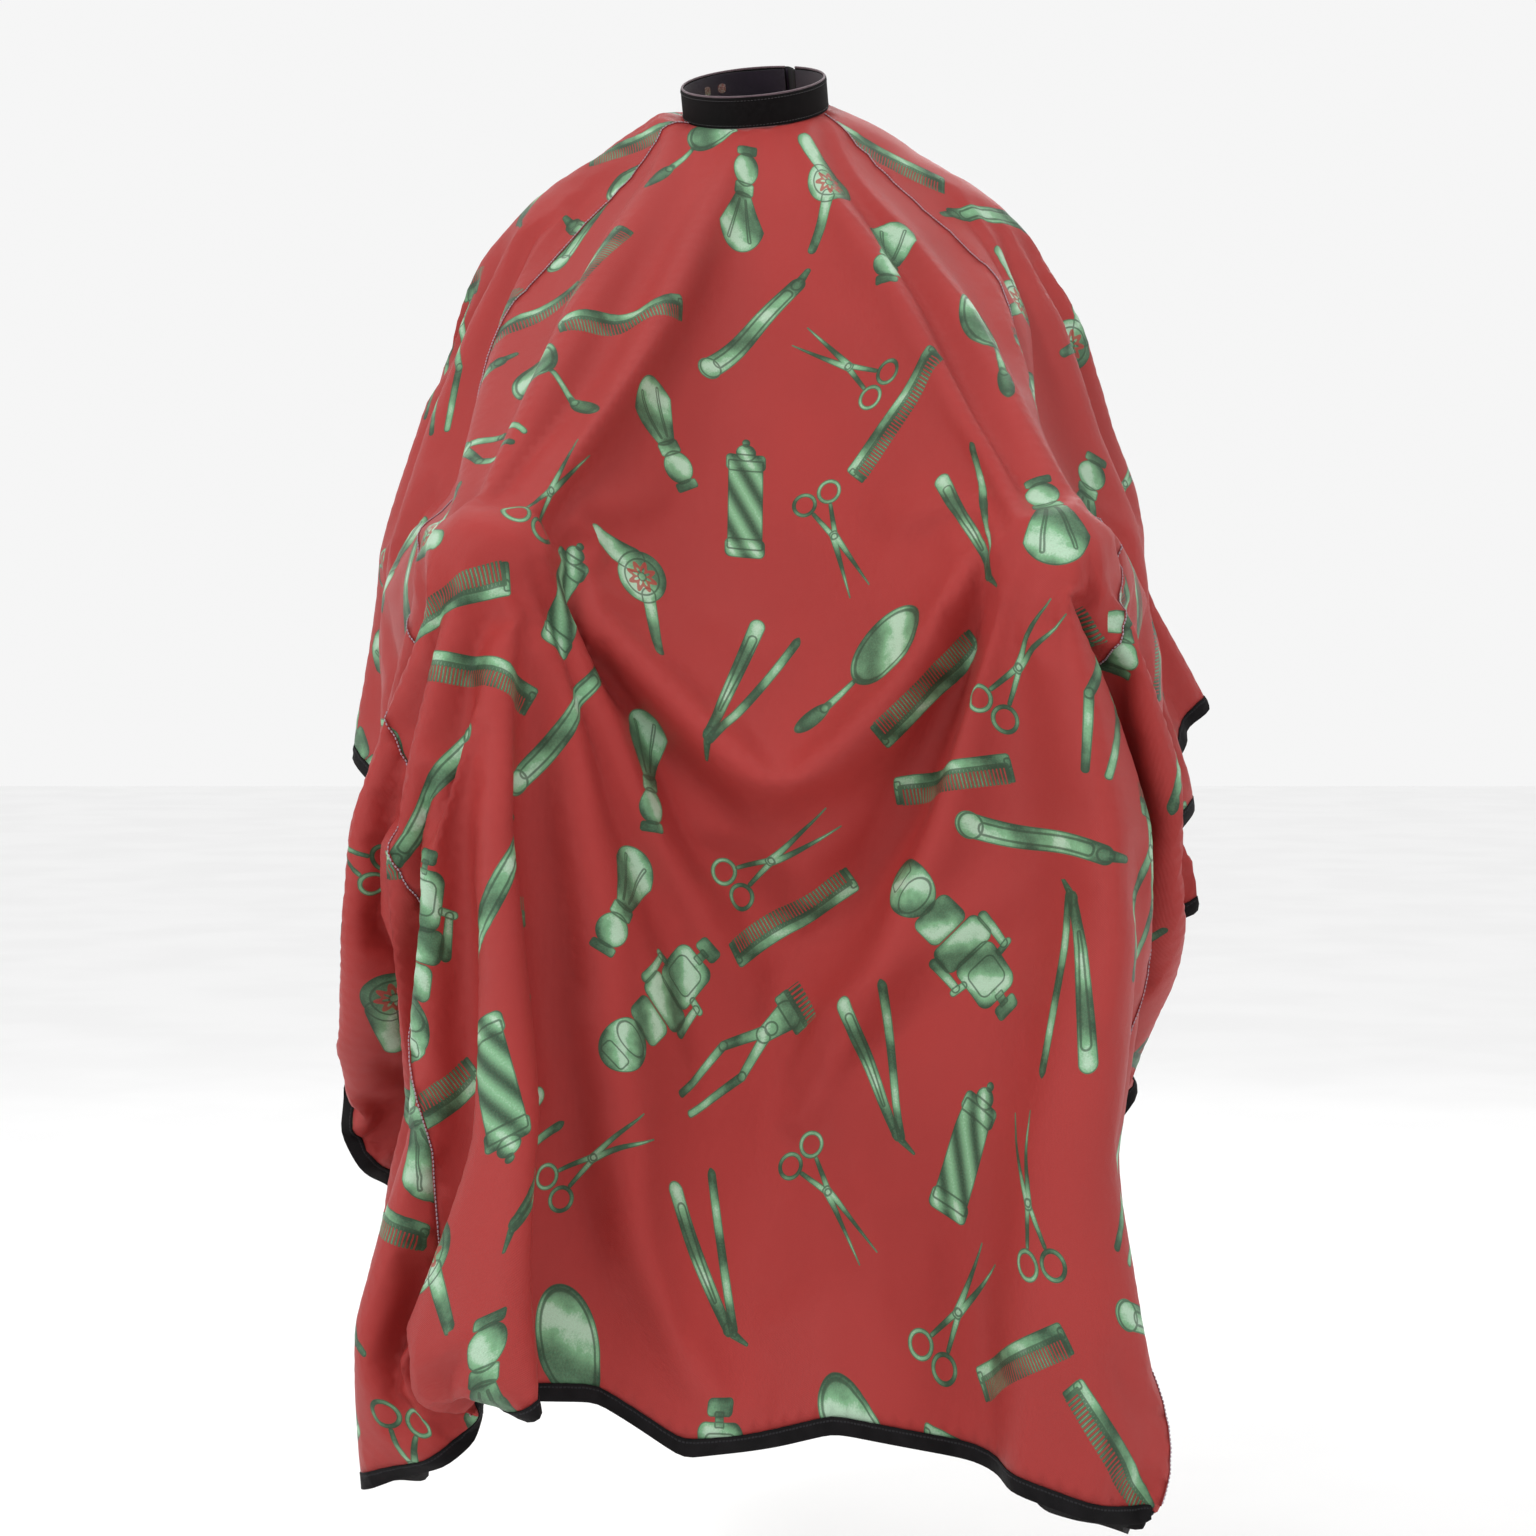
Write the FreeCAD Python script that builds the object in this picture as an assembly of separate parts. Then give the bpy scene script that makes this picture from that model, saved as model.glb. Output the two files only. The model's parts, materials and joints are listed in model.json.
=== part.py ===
"""Barber cape, worn over a seated client: three sewn panels, bound edges, a neckband with press studs.

Millimetres. The origin is the middle of the neck opening, +Z is up and the wearer faces -Y.
The cloth is modelled as it drapes: over the shoulders, along both forearms and down in front of the knees.
"""

import FreeCAD
import Part
import math
import os

Vector = FreeCAD.Vector

# Driving dimensions of the neckband
NECK_RADIUS = 62.0  # inner wall, for a neck of about 390 mm
BAND_HEIGHT = 27.0
LINING_THICKNESS = 0.8
STIFFENER_THICKNESS = 1.4
COVER_THICKNESS = 1.0
BAND_TILT = 19.0  # degrees, front lower than back
BAND_ROLL = 5.0  # degrees, the right side (-X) lower than the left (+X)
PIPING_RADIUS = 1.1
OVERLAP_GAP = 3.0  # between the underlap's cover and the tab's lining, where the studs stand

# Driving dimensions of the closure, as angles round the neck. 90 degrees is the middle of the back.
UNDERLAP_END = 62.0
TAB_ROOT = 52.0
TAB_STEP = 9.0  # arc in which the tab steps out over the underlap
TAB_TIP = 98.0
STUD_PITCH = 15.0
STUD_COUNT = 5
FIRST_STUD = 72.0
SNAP_COUNT = 2

# Driving dimensions of the snaps
CAP_RADIUS = 5.6
CAP_THICKNESS = 0.9
SOCKET_RADIUS = 5.0
SOCKET_HEIGHT = 2.0
SOCKET_BORE = 2.9
STUD_FLANGE_RADIUS = 4.6
STUD_FLANGE = 0.5
STUD_HEAD_RADIUS = 2.0
STUD_HEAD = 1.7
POST_RADIUS = 4.4
POST_THICKNESS = 0.5
BARREL_RADIUS = 1.2
HOLE_CLEARANCE = 0.2
THREAD_RADIUS = 0.35

# Driving dimensions of the cloth
CLOTH_THICKNESS = 2.0
BINDING_WIDTH = 9.0
BINDING_THICKNESS = 3.6
SEAM_WIDTH = 3.0
SEAM_THICKNESS = 2.6
JOINT_GAP = 0.4  # between neighbouring sewn pieces
LEFT_SPREAD = 1.13  # the wearer's left side (+X) stands further out than the right
RIGHT_SPREAD = 1.00

# Drop lines of one half of the cape, from the middle of the front round to the opening at the back.
# Each starts on the neckband at the named angle and runs down to the cape's edge: (X, Y, Z).
DROP_LINES = [
    (-90.0, [
        (0, -130, -110), (0, -240, -270), (0, -370, -440),
        (0, -420, -580), (0, -430, -800), (0, -485, -1100),
    ]),
    (-60.0, [
        (70, -125, -100), (130, -250, -250), (170, -400, -430),
        (175, -450, -590), (185, -460, -830), (190, -528, -1130),
    ]),
    (-30.0, [
        (130, -100, -85), (215, -240, -220), (265, -400, -410),
        (285, -460, -570), (300, -480, -850), (315, -568, -1185),
    ]),
    (-8.0, [
        (190, -35, -85), (275, -120, -230), (325, -240, -400),
        (340, -290, -560), (335, -290, -800), (320, -330, -1110),
    ]),
    (18.0, [
        (200, 35, -75), (270, 45, -200), (330, 35, -340),
        (365, 20, -480), (370, -20, -580), (370, -80, -700),
    ]),
    (50.0, [
        (150, 75, -50), (215, 115, -150), (240, 135, -270),
        (255, 150, -370), (260, 160, -450), (262, 165, -520),
    ]),
    (83.0, [
        (25, 100, -20), (40, 130, -70), (60, 168, -125),
        (70, 198, -170), (78, 222, -205), (80, 236, -235),
    ]),
]
SEAM_LINE = 2  # the drop line that carries the seam
ROWS = 44  # points from neck to hem on every long edge

COVER_RADIUS = NECK_RADIUS + LINING_THICKNESS + STIFFENER_THICKNESS + COVER_THICKNESS
TAB_RADIUS = COVER_RADIUS + OVERLAP_GAP
BAND_BOTTOM = -BAND_HEIGHT / 2
NECKLINE_DROP = 1.3  # the panels start this far below the band
NECKLINE_RADIUS = NECK_RADIUS + 6.0


def on_neck(shape):
    """Turn a shape built round the vertical axis to the neck's own tilt and roll."""
    placed = shape.copy()
    placed.rotate(Vector(0, 0, 0), Vector(1, 0, 0), BAND_TILT)
    placed.rotate(Vector(0, 0, 0), Vector(0, 1, 0), -BAND_ROLL)
    return placed


def neck_point(angle, radius, height):
    """A point of the neckband's own cylinder, in the cape's frame."""
    turn = math.radians(angle)
    local = Part.Vertex(radius * math.cos(turn), radius * math.sin(turn), height)
    return on_neck(local).Point


# Cloth


def smooth_net(points):
    """A cubic surface that follows a net of points and ends on its border."""

    def knots(count):
        spans = count - 3
        return [i / spans for i in range(spans + 1)], [4] + [1] * (spans - 1) + [4]

    u_knots, u_mults = knots(len(points))
    v_knots, v_mults = knots(len(points[0]))
    surface = Part.BSplineSurface()
    surface.buildFromPolesMultsKnots(points, u_mults, v_mults, u_knots, v_knots, False, False, 3, 3)
    return surface


def drape():
    """The cape's surface: u runs from the right back edge round the front to the left, v from neck to edge."""

    def line(angle, points, side):
        spread = LEFT_SPREAD if side > 0 else RIGHT_SPREAD
        start = neck_point(angle if side > 0 else 180 - angle, NECKLINE_RADIUS, BAND_BOTTOM - NECKLINE_DROP)
        return [start] + [Vector(side * x * spread, y, z) for x, y, z in points]

    left = [line(angle, points, 1) for angle, points in DROP_LINES]
    right = [line(angle, points, -1) for angle, points in DROP_LINES[:0:-1]]
    return smooth_net(right + left)


CLOTH = drape()
U_FIRST, U_LAST, V_FIRST, V_LAST = CLOTH.bounds()


def seam_parameter(side):
    """The surface parameter that follows the seam's drop line."""
    lines = 2 * len(DROP_LINES) - 1
    place = len(DROP_LINES) - 1 + side * SEAM_LINE
    return (place - 1) / (lines - 3)


def across(u, v, width):
    """The step in u that moves this many millimetres round the cape at (u, v)."""
    step = (U_LAST - U_FIRST) / 2000
    near = CLOTH.value(min(u, U_LAST - step), v)
    far = CLOTH.value(min(u, U_LAST - step) + step, v)
    return width * step / max((far - near).Length, 1e-6)


def down(u, distance):
    """The v that lies this many millimetres up from the cape's edge."""
    lower = V_LAST
    point = CLOTH.value(u, lower)
    gone = 0.0
    step = (V_LAST - V_FIRST) / 400
    while gone < distance:
        lower -= step
        above = CLOTH.value(u, lower)
        gone += (above - point).Length
        point = above
    return lower + step * (gone - distance) / max((CLOTH.value(u, lower + step) - point).Length, 1e-6)


def patch(u_range, v_range, outside, inside, columns, rows):
    """A closed solid on part of the drape. Bounds are functions: of v for u_range, of u for v_range."""
    outer, inner = [], []
    for i in range(columns + 1):
        share_u = i / columns
        outer_line, inner_line = [], []
        for j in range(rows + 1):
            share_v = j / rows
            u = u_range[0](V_LAST) * (1 - share_u) + u_range[1](V_LAST) * share_u
            v = v_range[0](u) * (1 - share_v) + v_range[1](u) * share_v
            u = u_range[0](v) * (1 - share_u) + u_range[1](v) * share_u
            point = CLOTH.value(u, v)
            normal = CLOTH.normal(u, v)
            outer_line.append(point + normal * outside)
            inner_line.append(point - normal * inside)
        outer.append(outer_line)
        inner.append(inner_line)
    return closed_between(outer, inner)


def closed_between(outer, inner):
    """The solid between two grids of points: a smooth face on each, and ruled faces round the rim."""
    surfaces = [smooth_net(grid) for grid in (outer, inner)]
    faces = [surface.toShape() for surface in surfaces]
    for take in (
        lambda s: s.uIso(s.bounds()[0]),
        lambda s: s.uIso(s.bounds()[1]),
        lambda s: s.vIso(s.bounds()[2]),
        lambda s: s.vIso(s.bounds()[3]),
    ):
        rims = [take(surface).toShape() for surface in surfaces]
        faces.append(Part.makeRuledSurface(rims[0], rims[1]))
    shell = Part.Compound(faces)
    shell.sewShape()
    solid = Part.Solid(shell.Shells[0])
    if solid.Volume < 0:
        solid.reverse()
    return solid


def constant(value):
    return lambda _: value


def panels():
    """Front, left and right panels, each ending short of its seams and bindings."""
    half = SEAM_WIDTH / 2 + JOINT_GAP
    edge = BINDING_WIDTH + JOINT_GAP
    left, right = seam_parameter(1), seam_parameter(-1)
    bottom = lambda u: down(u, edge)
    top = constant(V_FIRST)

    def beside(u, width):
        return lambda v: u + math.copysign(across(u, v, abs(width)), width)

    front_sides = (beside(right, half), beside(left, -half))
    left_sides = (beside(left, half), beside(U_LAST, -edge))
    right_sides = (beside(U_FIRST, edge), beside(right, -half))
    inside = CLOTH_THICKNESS / 2
    return {
        "front_panel": patch(front_sides, (top, bottom), inside, inside, 36, ROWS),
        "left_panel": patch(left_sides, (top, bottom), inside, inside, 28, ROWS),
        "right_panel": patch(right_sides, (top, bottom), inside, inside, 28, ROWS),
    }


def seams():
    """The overlocked seams that join the front panel to the side panels."""
    made = {}
    for name, side in (("left_seam", 1), ("right_seam", -1)):
        u = seam_parameter(side)
        edges = [lambda v, u=u, s=s: u + s * across(u, v, SEAM_WIDTH / 2) for s in (-1, 1)]
        bounds = (constant(V_FIRST), lambda u: down(u, BINDING_WIDTH + JOINT_GAP))
        made[name] = patch(edges, bounds, SEAM_THICKNESS / 2, SEAM_THICKNESS / 2, 3, ROWS)
    return made


def bindings():
    """Folded tape on every free edge: hem, sides and back opening."""
    left, right = seam_parameter(1), seam_parameter(-1)
    half = BINDING_THICKNESS / 2
    corner_u = {1: (left + 2 * U_LAST) / 3, -1: (right + 2 * U_FIRST) / 3}
    strip = (lambda u: down(u, BINDING_WIDTH), constant(V_LAST))
    gap = (U_LAST - U_FIRST) * 1e-3

    def along(low, high, columns):
        return patch((constant(low + gap), constant(high - gap)), strip, half, half, columns, 3)

    made = {
        "front_hem_binding": along(right, left, 36),
        "left_side_binding": along(left, corner_u[1], 28),
        "right_side_binding": along(corner_u[-1], right, 28),
        "left_back_hem_binding": along(corner_u[1], U_LAST, 24),
        "right_back_hem_binding": along(U_FIRST, corner_u[-1], 24),
    }
    above_hem = lambda u: down(u, BINDING_WIDTH + JOINT_GAP)
    for name, u, side in (("left_opening_binding", U_LAST, -1), ("right_opening_binding", U_FIRST, 1)):
        inner = lambda v, u=u, side=side: u + side * across(u, v, BINDING_WIDTH)
        bounds = (inner, constant(u)) if side < 0 else (constant(u), inner)
        made[name] = patch(bounds, (constant(V_FIRST), above_hem), half, half, 3, ROWS)
    return made


# Neckband


def arc_wall(inner_radius, thickness, first, last, bottom, height):
    """An upright curved wall between two angles round the neck."""
    base, up = Vector(0, 0, bottom), Vector(0, 0, 1)
    sector = Part.makeCylinder(inner_radius + thickness, height, base, up, last - first)
    wall = sector.cut(Part.makeCylinder(inner_radius, height, Vector(0, 0, bottom)))
    wall.rotate(Vector(0, 0, 0), Vector(0, 0, 1), first)
    return wall


def neckband():
    """Lining, stiffener and cover of the band, from the underlap's end round the front to the tab's root."""
    first, last = UNDERLAP_END, TAB_ROOT + 360
    lining = arc_wall(NECK_RADIUS, LINING_THICKNESS, first, last, BAND_BOTTOM, BAND_HEIGHT)
    stiffener_radius = NECK_RADIUS + LINING_THICKNESS
    stiffener = arc_wall(stiffener_radius, STIFFENER_THICKNESS, first, last, BAND_BOTTOM, BAND_HEIGHT)
    cover_inside = stiffener_radius + STIFFENER_THICKNESS
    cover = arc_wall(cover_inside, COVER_THICKNESS, first, last, BAND_BOTTOM, BAND_HEIGHT)
    return lining, stiffener, cover


def tab_outline(radius):
    """A line round the tab at this radius: it starts on the band and steps out over the underlap."""
    first = TAB_ROOT + math.degrees(JOINT_GAP / NECK_RADIUS)
    points = []
    count = 26
    for i in range(count + 1):
        angle = first + (TAB_TIP - first) * i / count
        share = min(max((angle - first - 0.6) / TAB_STEP, 0), 1)
        out = radius + (TAB_RADIUS - NECK_RADIUS) * share * share * (3 - 2 * share)
        turn = math.radians(angle)
        points.append(Vector(out * math.cos(turn), out * math.sin(turn), BAND_BOTTOM))
    curve = Part.BSplineCurve()
    curve.interpolate(points)
    return curve.toShape()


def tab_layers():
    """Lining, stiffener and cover of the tab."""
    radii = [NECK_RADIUS]
    for thickness in (LINING_THICKNESS, STIFFENER_THICKNESS, COVER_THICKNESS):
        radii.append(radii[-1] + thickness)
    lines = [tab_outline(radius) for radius in radii]
    layers = []
    for inner, outer in zip(lines, lines[1:]):
        ends = [Part.makeLine(inner.Vertexes[i].Point, outer.Vertexes[i].Point) for i in (0, -1)]
        face = Part.Face(Part.Wire(Part.__sortEdges__([inner, ends[1], outer, ends[0]])))
        layers.append(face.extrude(Vector(0, 0, BAND_HEIGHT)))
    return layers


def round_tip(layer):
    """Round the tab's two free corners."""
    tip = math.radians(TAB_TIP)
    corners = []
    for edge in layer.Edges:
        middle = edge.CenterOfMass
        at_tip = abs(math.atan2(middle.y, middle.x) - tip) < 1e-3
        level = abs(edge.Vertexes[0].Z - edge.Vertexes[-1].Z) < 1e-6
        if at_tip and level:
            corners.append(edge)
    return layer.makeFillet(6.0, corners)


def disc(radius, near, far):
    """A round plate or hole on the radius at angle 0, between two distances from the neck's axis."""
    return Part.makeCylinder(radius, far - near, Vector(near, 0, 0), Vector(1, 0, 0))


def turned(shape, angle):
    """The same shape at another angle round the neck."""
    copy = shape.copy()
    copy.rotate(Vector(0, 0, 0), Vector(0, 0, 1), angle)
    return copy


def domed(radius, near, far, edge):
    """A plate with its outer rim rounded."""
    plate = disc(radius, near, far)
    rim = [e for e in plate.Edges if abs(e.CenterOfMass.x - far) < 1e-6 and e.Length > radius]
    return plate.makeFillet(edge, rim)


def snap_parts():
    """Post and stud of the underlap, socket and cap of the tab, all at angle 0."""
    post_face = NECK_RADIUS + POST_THICKNESS
    post = disc(POST_RADIUS, NECK_RADIUS, post_face).fuse(disc(BARREL_RADIUS, post_face, COVER_RADIUS))
    flange_top = COVER_RADIUS + STUD_FLANGE
    stud = disc(STUD_FLANGE_RADIUS, COVER_RADIUS, flange_top)
    stud = stud.fuse(disc(STUD_HEAD_RADIUS - 0.3, flange_top, flange_top + STUD_HEAD))
    stud = stud.fuse(domed(STUD_HEAD_RADIUS, flange_top + 0.7, flange_top + STUD_HEAD, 0.4)).removeSplitter()
    socket_top = TAB_RADIUS - 0.2
    socket = domed(SOCKET_RADIUS, socket_top - SOCKET_HEIGHT, socket_top, 0.3)
    socket = socket.cut(disc(SOCKET_BORE, socket_top - SOCKET_HEIGHT - 1, socket_top - 0.3))
    cap_face = TAB_RADIUS + COVER_RADIUS - NECK_RADIUS
    cap = domed(CAP_RADIUS, cap_face, cap_face + CAP_THICKNESS, 0.5)
    cap = cap.fuse(disc(BARREL_RADIUS, socket_top, cap_face))
    return post.removeSplitter(), stud, socket, cap.removeSplitter()


def ring(radius, height, wire_radius):
    """A round cord along the band at this radius and height."""
    circle = Part.makeCircle(wire_radius, Vector(radius, 0, height), Vector(0, 1, 0))
    section = Part.Face(Part.Wire(circle))
    cord = section.revolve(Vector(0, 0, 0), Vector(0, 0, 1), TAB_ROOT + 360 - UNDERLAP_END)
    return turned(cord, UNDERLAP_END)


def neckband_and_closure():
    """Every piece of the band, its tab and its snaps."""
    studs = [FIRST_STUD + STUD_PITCH * i for i in range(STUD_COUNT)]
    post, stud, socket, cap = snap_parts()

    made = {}
    post_hole = disc(BARREL_RADIUS + HOLE_CLEARANCE, NECK_RADIUS - 5, COVER_RADIUS + 5)
    post_recess = disc(POST_RADIUS + HOLE_CLEARANCE, NECK_RADIUS - 5, NECK_RADIUS + POST_THICKNESS + 0.1)
    for name, layer in zip(("lining", "stiffener", "cover"), neckband()):
        for angle in studs:
            layer = layer.cut(turned(post_hole, angle))
            if name == "lining":
                layer = layer.cut(turned(post_recess, angle))
        made["neckband_" + name] = layer

    cap_hole = disc(BARREL_RADIUS + HOLE_CLEARANCE, TAB_RADIUS - 5, TAB_RADIUS + 10)
    for name, layer in zip(("lining", "stiffener", "cover"), tab_layers()):
        layer = round_tip(layer)
        for angle in studs[:SNAP_COUNT]:
            layer = layer.cut(turned(cap_hole, angle))
        made["tab_" + name] = layer

    made["neckband_piping"] = ring(COVER_RADIUS - 1.6, BAND_HEIGHT / 2 + PIPING_RADIUS, PIPING_RADIUS)
    for name, height in (("upper", BAND_HEIGHT / 2 - 2.5), ("lower", 2.5 - BAND_HEIGHT / 2)):
        made[f"neckband_{name}_stitching"] = ring(COVER_RADIUS + THREAD_RADIUS, height, THREAD_RADIUS)

    for number, angle in enumerate(studs, 1):
        made[f"stud_{number}"] = turned(stud, angle)
        made[f"stud_post_{number}"] = turned(post, angle)
    for number, angle in enumerate(studs[:SNAP_COUNT], 1):
        made[f"snap_socket_{number}"] = turned(socket, angle)
        made[f"snap_cap_{number}"] = turned(cap, angle)
    return {name: on_neck(shape) for name, shape in made.items()}


def main():
    os.makedirs("parts", exist_ok=True)
    nodes = {}
    nodes.update(panels())
    nodes.update(seams())
    nodes.update(bindings())
    nodes.update(neckband_and_closure())
    for name, shape in nodes.items():
        solid = shape.Solids[0] if len(shape.Solids) == 1 else shape
        good = solid.isValid() and len(shape.Solids) == 1
        box = solid.BoundBox
        print(f"{name:26s} {good} {solid.Volume:10.1f}  x {box.XMin:.1f} {box.XMax:.1f}"
              f"  y {box.YMin:.1f} {box.YMax:.1f}  z {box.ZMin:.1f} {box.ZMax:.1f}")
        solid.exportStep(f"parts/{name}.step")


if __name__ == "__main__":
    main()
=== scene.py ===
import json
import math
from types import SimpleNamespace

import bmesh
import bpy
import numpy as np
from mathutils import Euler, Matrix, Vector
from mathutils.bvhtree import BVHTree
from mathutils.geometry import barycentric_transform, delaunay_2d_cdt
from mathutils.kdtree import KDTree


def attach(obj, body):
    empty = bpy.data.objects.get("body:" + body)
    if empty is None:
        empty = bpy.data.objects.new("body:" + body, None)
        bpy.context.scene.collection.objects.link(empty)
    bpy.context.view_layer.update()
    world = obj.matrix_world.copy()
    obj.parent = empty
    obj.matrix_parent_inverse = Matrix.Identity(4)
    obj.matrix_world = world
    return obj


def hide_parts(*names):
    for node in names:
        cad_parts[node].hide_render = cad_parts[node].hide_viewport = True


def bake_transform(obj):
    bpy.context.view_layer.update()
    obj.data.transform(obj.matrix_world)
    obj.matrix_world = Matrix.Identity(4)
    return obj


bl_info = {
    "name": "Barber cape",
    "version": (1, 0, 0),
    "blender": (4, 5, 0),
    "location": "3D View > Sidebar > Cape",
    "description": "Drapes a printed salon cape over a seated wearer and sews its bindings, seams and snap neckband",
    "category": "Object",
}

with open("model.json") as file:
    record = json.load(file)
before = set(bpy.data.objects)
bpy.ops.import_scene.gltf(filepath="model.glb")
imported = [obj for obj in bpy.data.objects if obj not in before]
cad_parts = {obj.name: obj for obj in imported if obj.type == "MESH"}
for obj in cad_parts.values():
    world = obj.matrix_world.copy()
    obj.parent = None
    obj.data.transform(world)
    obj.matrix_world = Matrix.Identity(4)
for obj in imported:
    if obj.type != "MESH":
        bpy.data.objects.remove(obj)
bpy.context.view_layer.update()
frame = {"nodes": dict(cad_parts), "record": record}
RECORD = frame["record"]
NECK = next(mount for mount in RECORD["mounts"] if mount["name"] == "neck")
NECK_RADIUS = NECK["dims"]["r_mm"] / 1000
BAND_HEIGHT = NECK["dims"]["length_mm"] / 1000

# The neckband stands at a tilt: the front lower than the back, and the right side a little lower than the left
TILT = Matrix.Rotation(math.radians(-5), 4, "Y") @ Matrix.Rotation(math.radians(19), 4, "X")
LINING = 0.0008
BAND_WALL = 0.0032
OVERLAP = 0.003  # between the underlap and the tab, where the studs stand
UNDERLAP_END = 62
TAB_ROOT = 52
TAB_STEP = 9
TAB_TIP = 98

DRAPE = "cape_drape"  # the draped cloth, kept only while the pieces are cut from it
ZONES = {
    "front_panel": 0,
    "left_panel": 1,
    "right_panel": 2,
    "front_hem_binding": 3,
    "left_side_binding": 4,
    "right_side_binding": 5,
    "left_back_hem_binding": 6,
    "right_back_hem_binding": 7,
    "left_opening_binding": 8,
    "right_opening_binding": 9,
}


# Node drafting


class Draft:
    """Adds shader nodes to one tree. Values are sockets or plain numbers."""

    def __init__(self, tree):
        self.tree = tree

    def add(self, kind, **settings):
        node = self.tree.nodes.new(kind)
        for key, value in settings.items():
            setattr(node, key, value)
        return node

    def feed(self, socket, value):
        if isinstance(value, bpy.types.NodeSocket):
            self.tree.links.new(value, socket)
        else:
            socket.default_value = value

    def math(self, operation, *values, clamp=False):
        node = self.add("ShaderNodeMath", operation=operation, use_clamp=clamp)
        for socket, value in zip(node.inputs, values):
            self.feed(socket, value)
        return node.outputs[0]

    def vector(self, operation, *values):
        node = self.add("ShaderNodeVectorMath", operation=operation)
        for socket, value in zip(node.inputs, values):
            self.feed(socket, value)
        return node.outputs["Value" if operation in ("LENGTH", "DISTANCE", "DOT_PRODUCT") else "Vector"]

    def scaled(self, vector, amount):
        node = self.add("ShaderNodeVectorMath", operation="SCALE")
        self.feed(node.inputs[0], vector)
        self.feed(node.inputs["Scale"], amount)
        return node.outputs["Vector"]

    def parts(self, vector):
        node = self.add("ShaderNodeSeparateXYZ")
        self.feed(node.inputs[0], vector)
        return node.outputs

    def joined(self, x, y, z=0.0):
        node = self.add("ShaderNodeCombineXYZ")
        for socket, value in zip(node.inputs, (x, y, z)):
            self.feed(socket, value)
        return node.outputs[0]

    def lowest(self, values):
        result = values[0]
        for value in values[1:]:
            result = self.math("MINIMUM", result, value)
        return result

    def fade(self, value, low, high, to_low=0.0, to_high=1.0):
        node = self.add("ShaderNodeMapRange", interpolation_type="SMOOTHSTEP", clamp=True)
        for socket, number in zip(node.inputs, (value, low, high, to_low, to_high)):
            self.feed(socket, number)
        return node.outputs[0]

    def mix(self, share, first, second, blend="MIX"):
        node = self.add("ShaderNodeMix", data_type="RGBA", blend_type=blend)
        self.feed(node.inputs[0], share)
        self.feed(node.inputs[6], first)
        self.feed(node.inputs[7], second)
        return node.outputs[2]

    def noise(self, vector, scale, detail=2.0, roughness=0.5):
        node = self.add("ShaderNodeTexNoise")
        self.feed(node.inputs["Vector"], vector)
        node.inputs["Scale"].default_value = scale
        node.inputs["Detail"].default_value = detail
        node.inputs["Roughness"].default_value = roughness
        return node.outputs["Fac"]

    def attribute(self, name):
        return self.add("ShaderNodeAttribute", attribute_name=name, attribute_type="GEOMETRY").outputs["Vector"]

    # Shapes, as distances in millimetres, negative inside

    def spot(self, p, centre, radius):
        return self.math("SUBTRACT", self.vector("DISTANCE", p, (*centre, 0)), radius)

    def hoop(self, p, centre, radius, width):
        away = self.spot(p, centre, radius)
        return self.math("SUBTRACT", self.math("ABSOLUTE", away), width)

    def oval(self, p, centre, rx, ry):
        away = self.vector("SUBTRACT", p, (*centre, 0))
        away = self.vector("MULTIPLY", away, (1 / rx, 1 / ry, 0))
        away = self.math("SUBTRACT", self.vector("LENGTH", away), 1.0)
        return self.math("MULTIPLY", away, min(rx, ry))

    def block(self, p, centre, half_x, half_y, corner=2.0):
        away = self.vector("ABSOLUTE", self.vector("SUBTRACT", p, (*centre, 0)))
        away = self.vector("SUBTRACT", away, (half_x - corner, half_y - corner, 0))
        away = self.vector("MAXIMUM", away, (0, 0, 0))
        return self.math("SUBTRACT", self.vector("LENGTH", away), corner)

    def limb(self, p, start, end, start_radius, end_radius=None):
        """A round-ended bar that may taper."""
        end_radius = start_radius if end_radius is None else end_radius
        run = Vector((end[0] - start[0], end[1] - start[1], 0))
        away = self.vector("SUBTRACT", p, (*start, 0))
        share = self.vector("DOT_PRODUCT", away, tuple(run / run.length_squared))
        share = self.math("MULTIPLY", share, 1.0, clamp=True)
        off = self.vector("LENGTH", self.vector("SUBTRACT", away, self.scaled(tuple(run), share)))
        radius = self.math("MULTIPLY_ADD", share, end_radius - start_radius, start_radius)
        return self.math("SUBTRACT", off, radius)

    def both_sides(self, p):
        x, y, _ = self.parts(p)
        return self.joined(self.math("ABSOLUTE", x), y)


# The print: each motif is upright, centred and in millimetres


def hand_mirror(g, p):
    return [
        g.oval(p, (0, 34), 26, 43),
        g.oval(p, (0, 34), 21.5, 38.5),
        g.limb(p, (0, -10), (0, -44), 2.6, 4.0),
        g.oval(p, (0, -58), 7.5, 19),
    ]


def comb(g, p):
    x, y, _ = g.parts(p)
    gap = g.math("ABSOLUTE", g.math("SUBTRACT", g.math("FRACT", g.math("MULTIPLY", x, 0.26)), 0.5))
    teeth = g.math("MULTIPLY", g.math("SUBTRACT", gap, 0.3), 3.8)
    row = g.math("MAXIMUM", g.block(p, (0, -6), 74, 10, 1), teeth)
    return [g.block(p, (0, 7), 78, 7, 4), row, g.block(p, (75, -3), 3.5, 12, 2), g.block(p, (-75, -3), 3.5, 12, 2)]


def scissors(g, p):
    half = g.both_sides(p)
    return [
        g.limb(half, (1, -4), (13, 78), 4.2, 0.8),
        g.limb(half, (1, -2), (11, -40), 3.4, 2.4),
        g.hoop(half, (16, -56), 12.5, 2.3),
        g.spot(p, (0, -2), 3.6),
    ]


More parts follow.
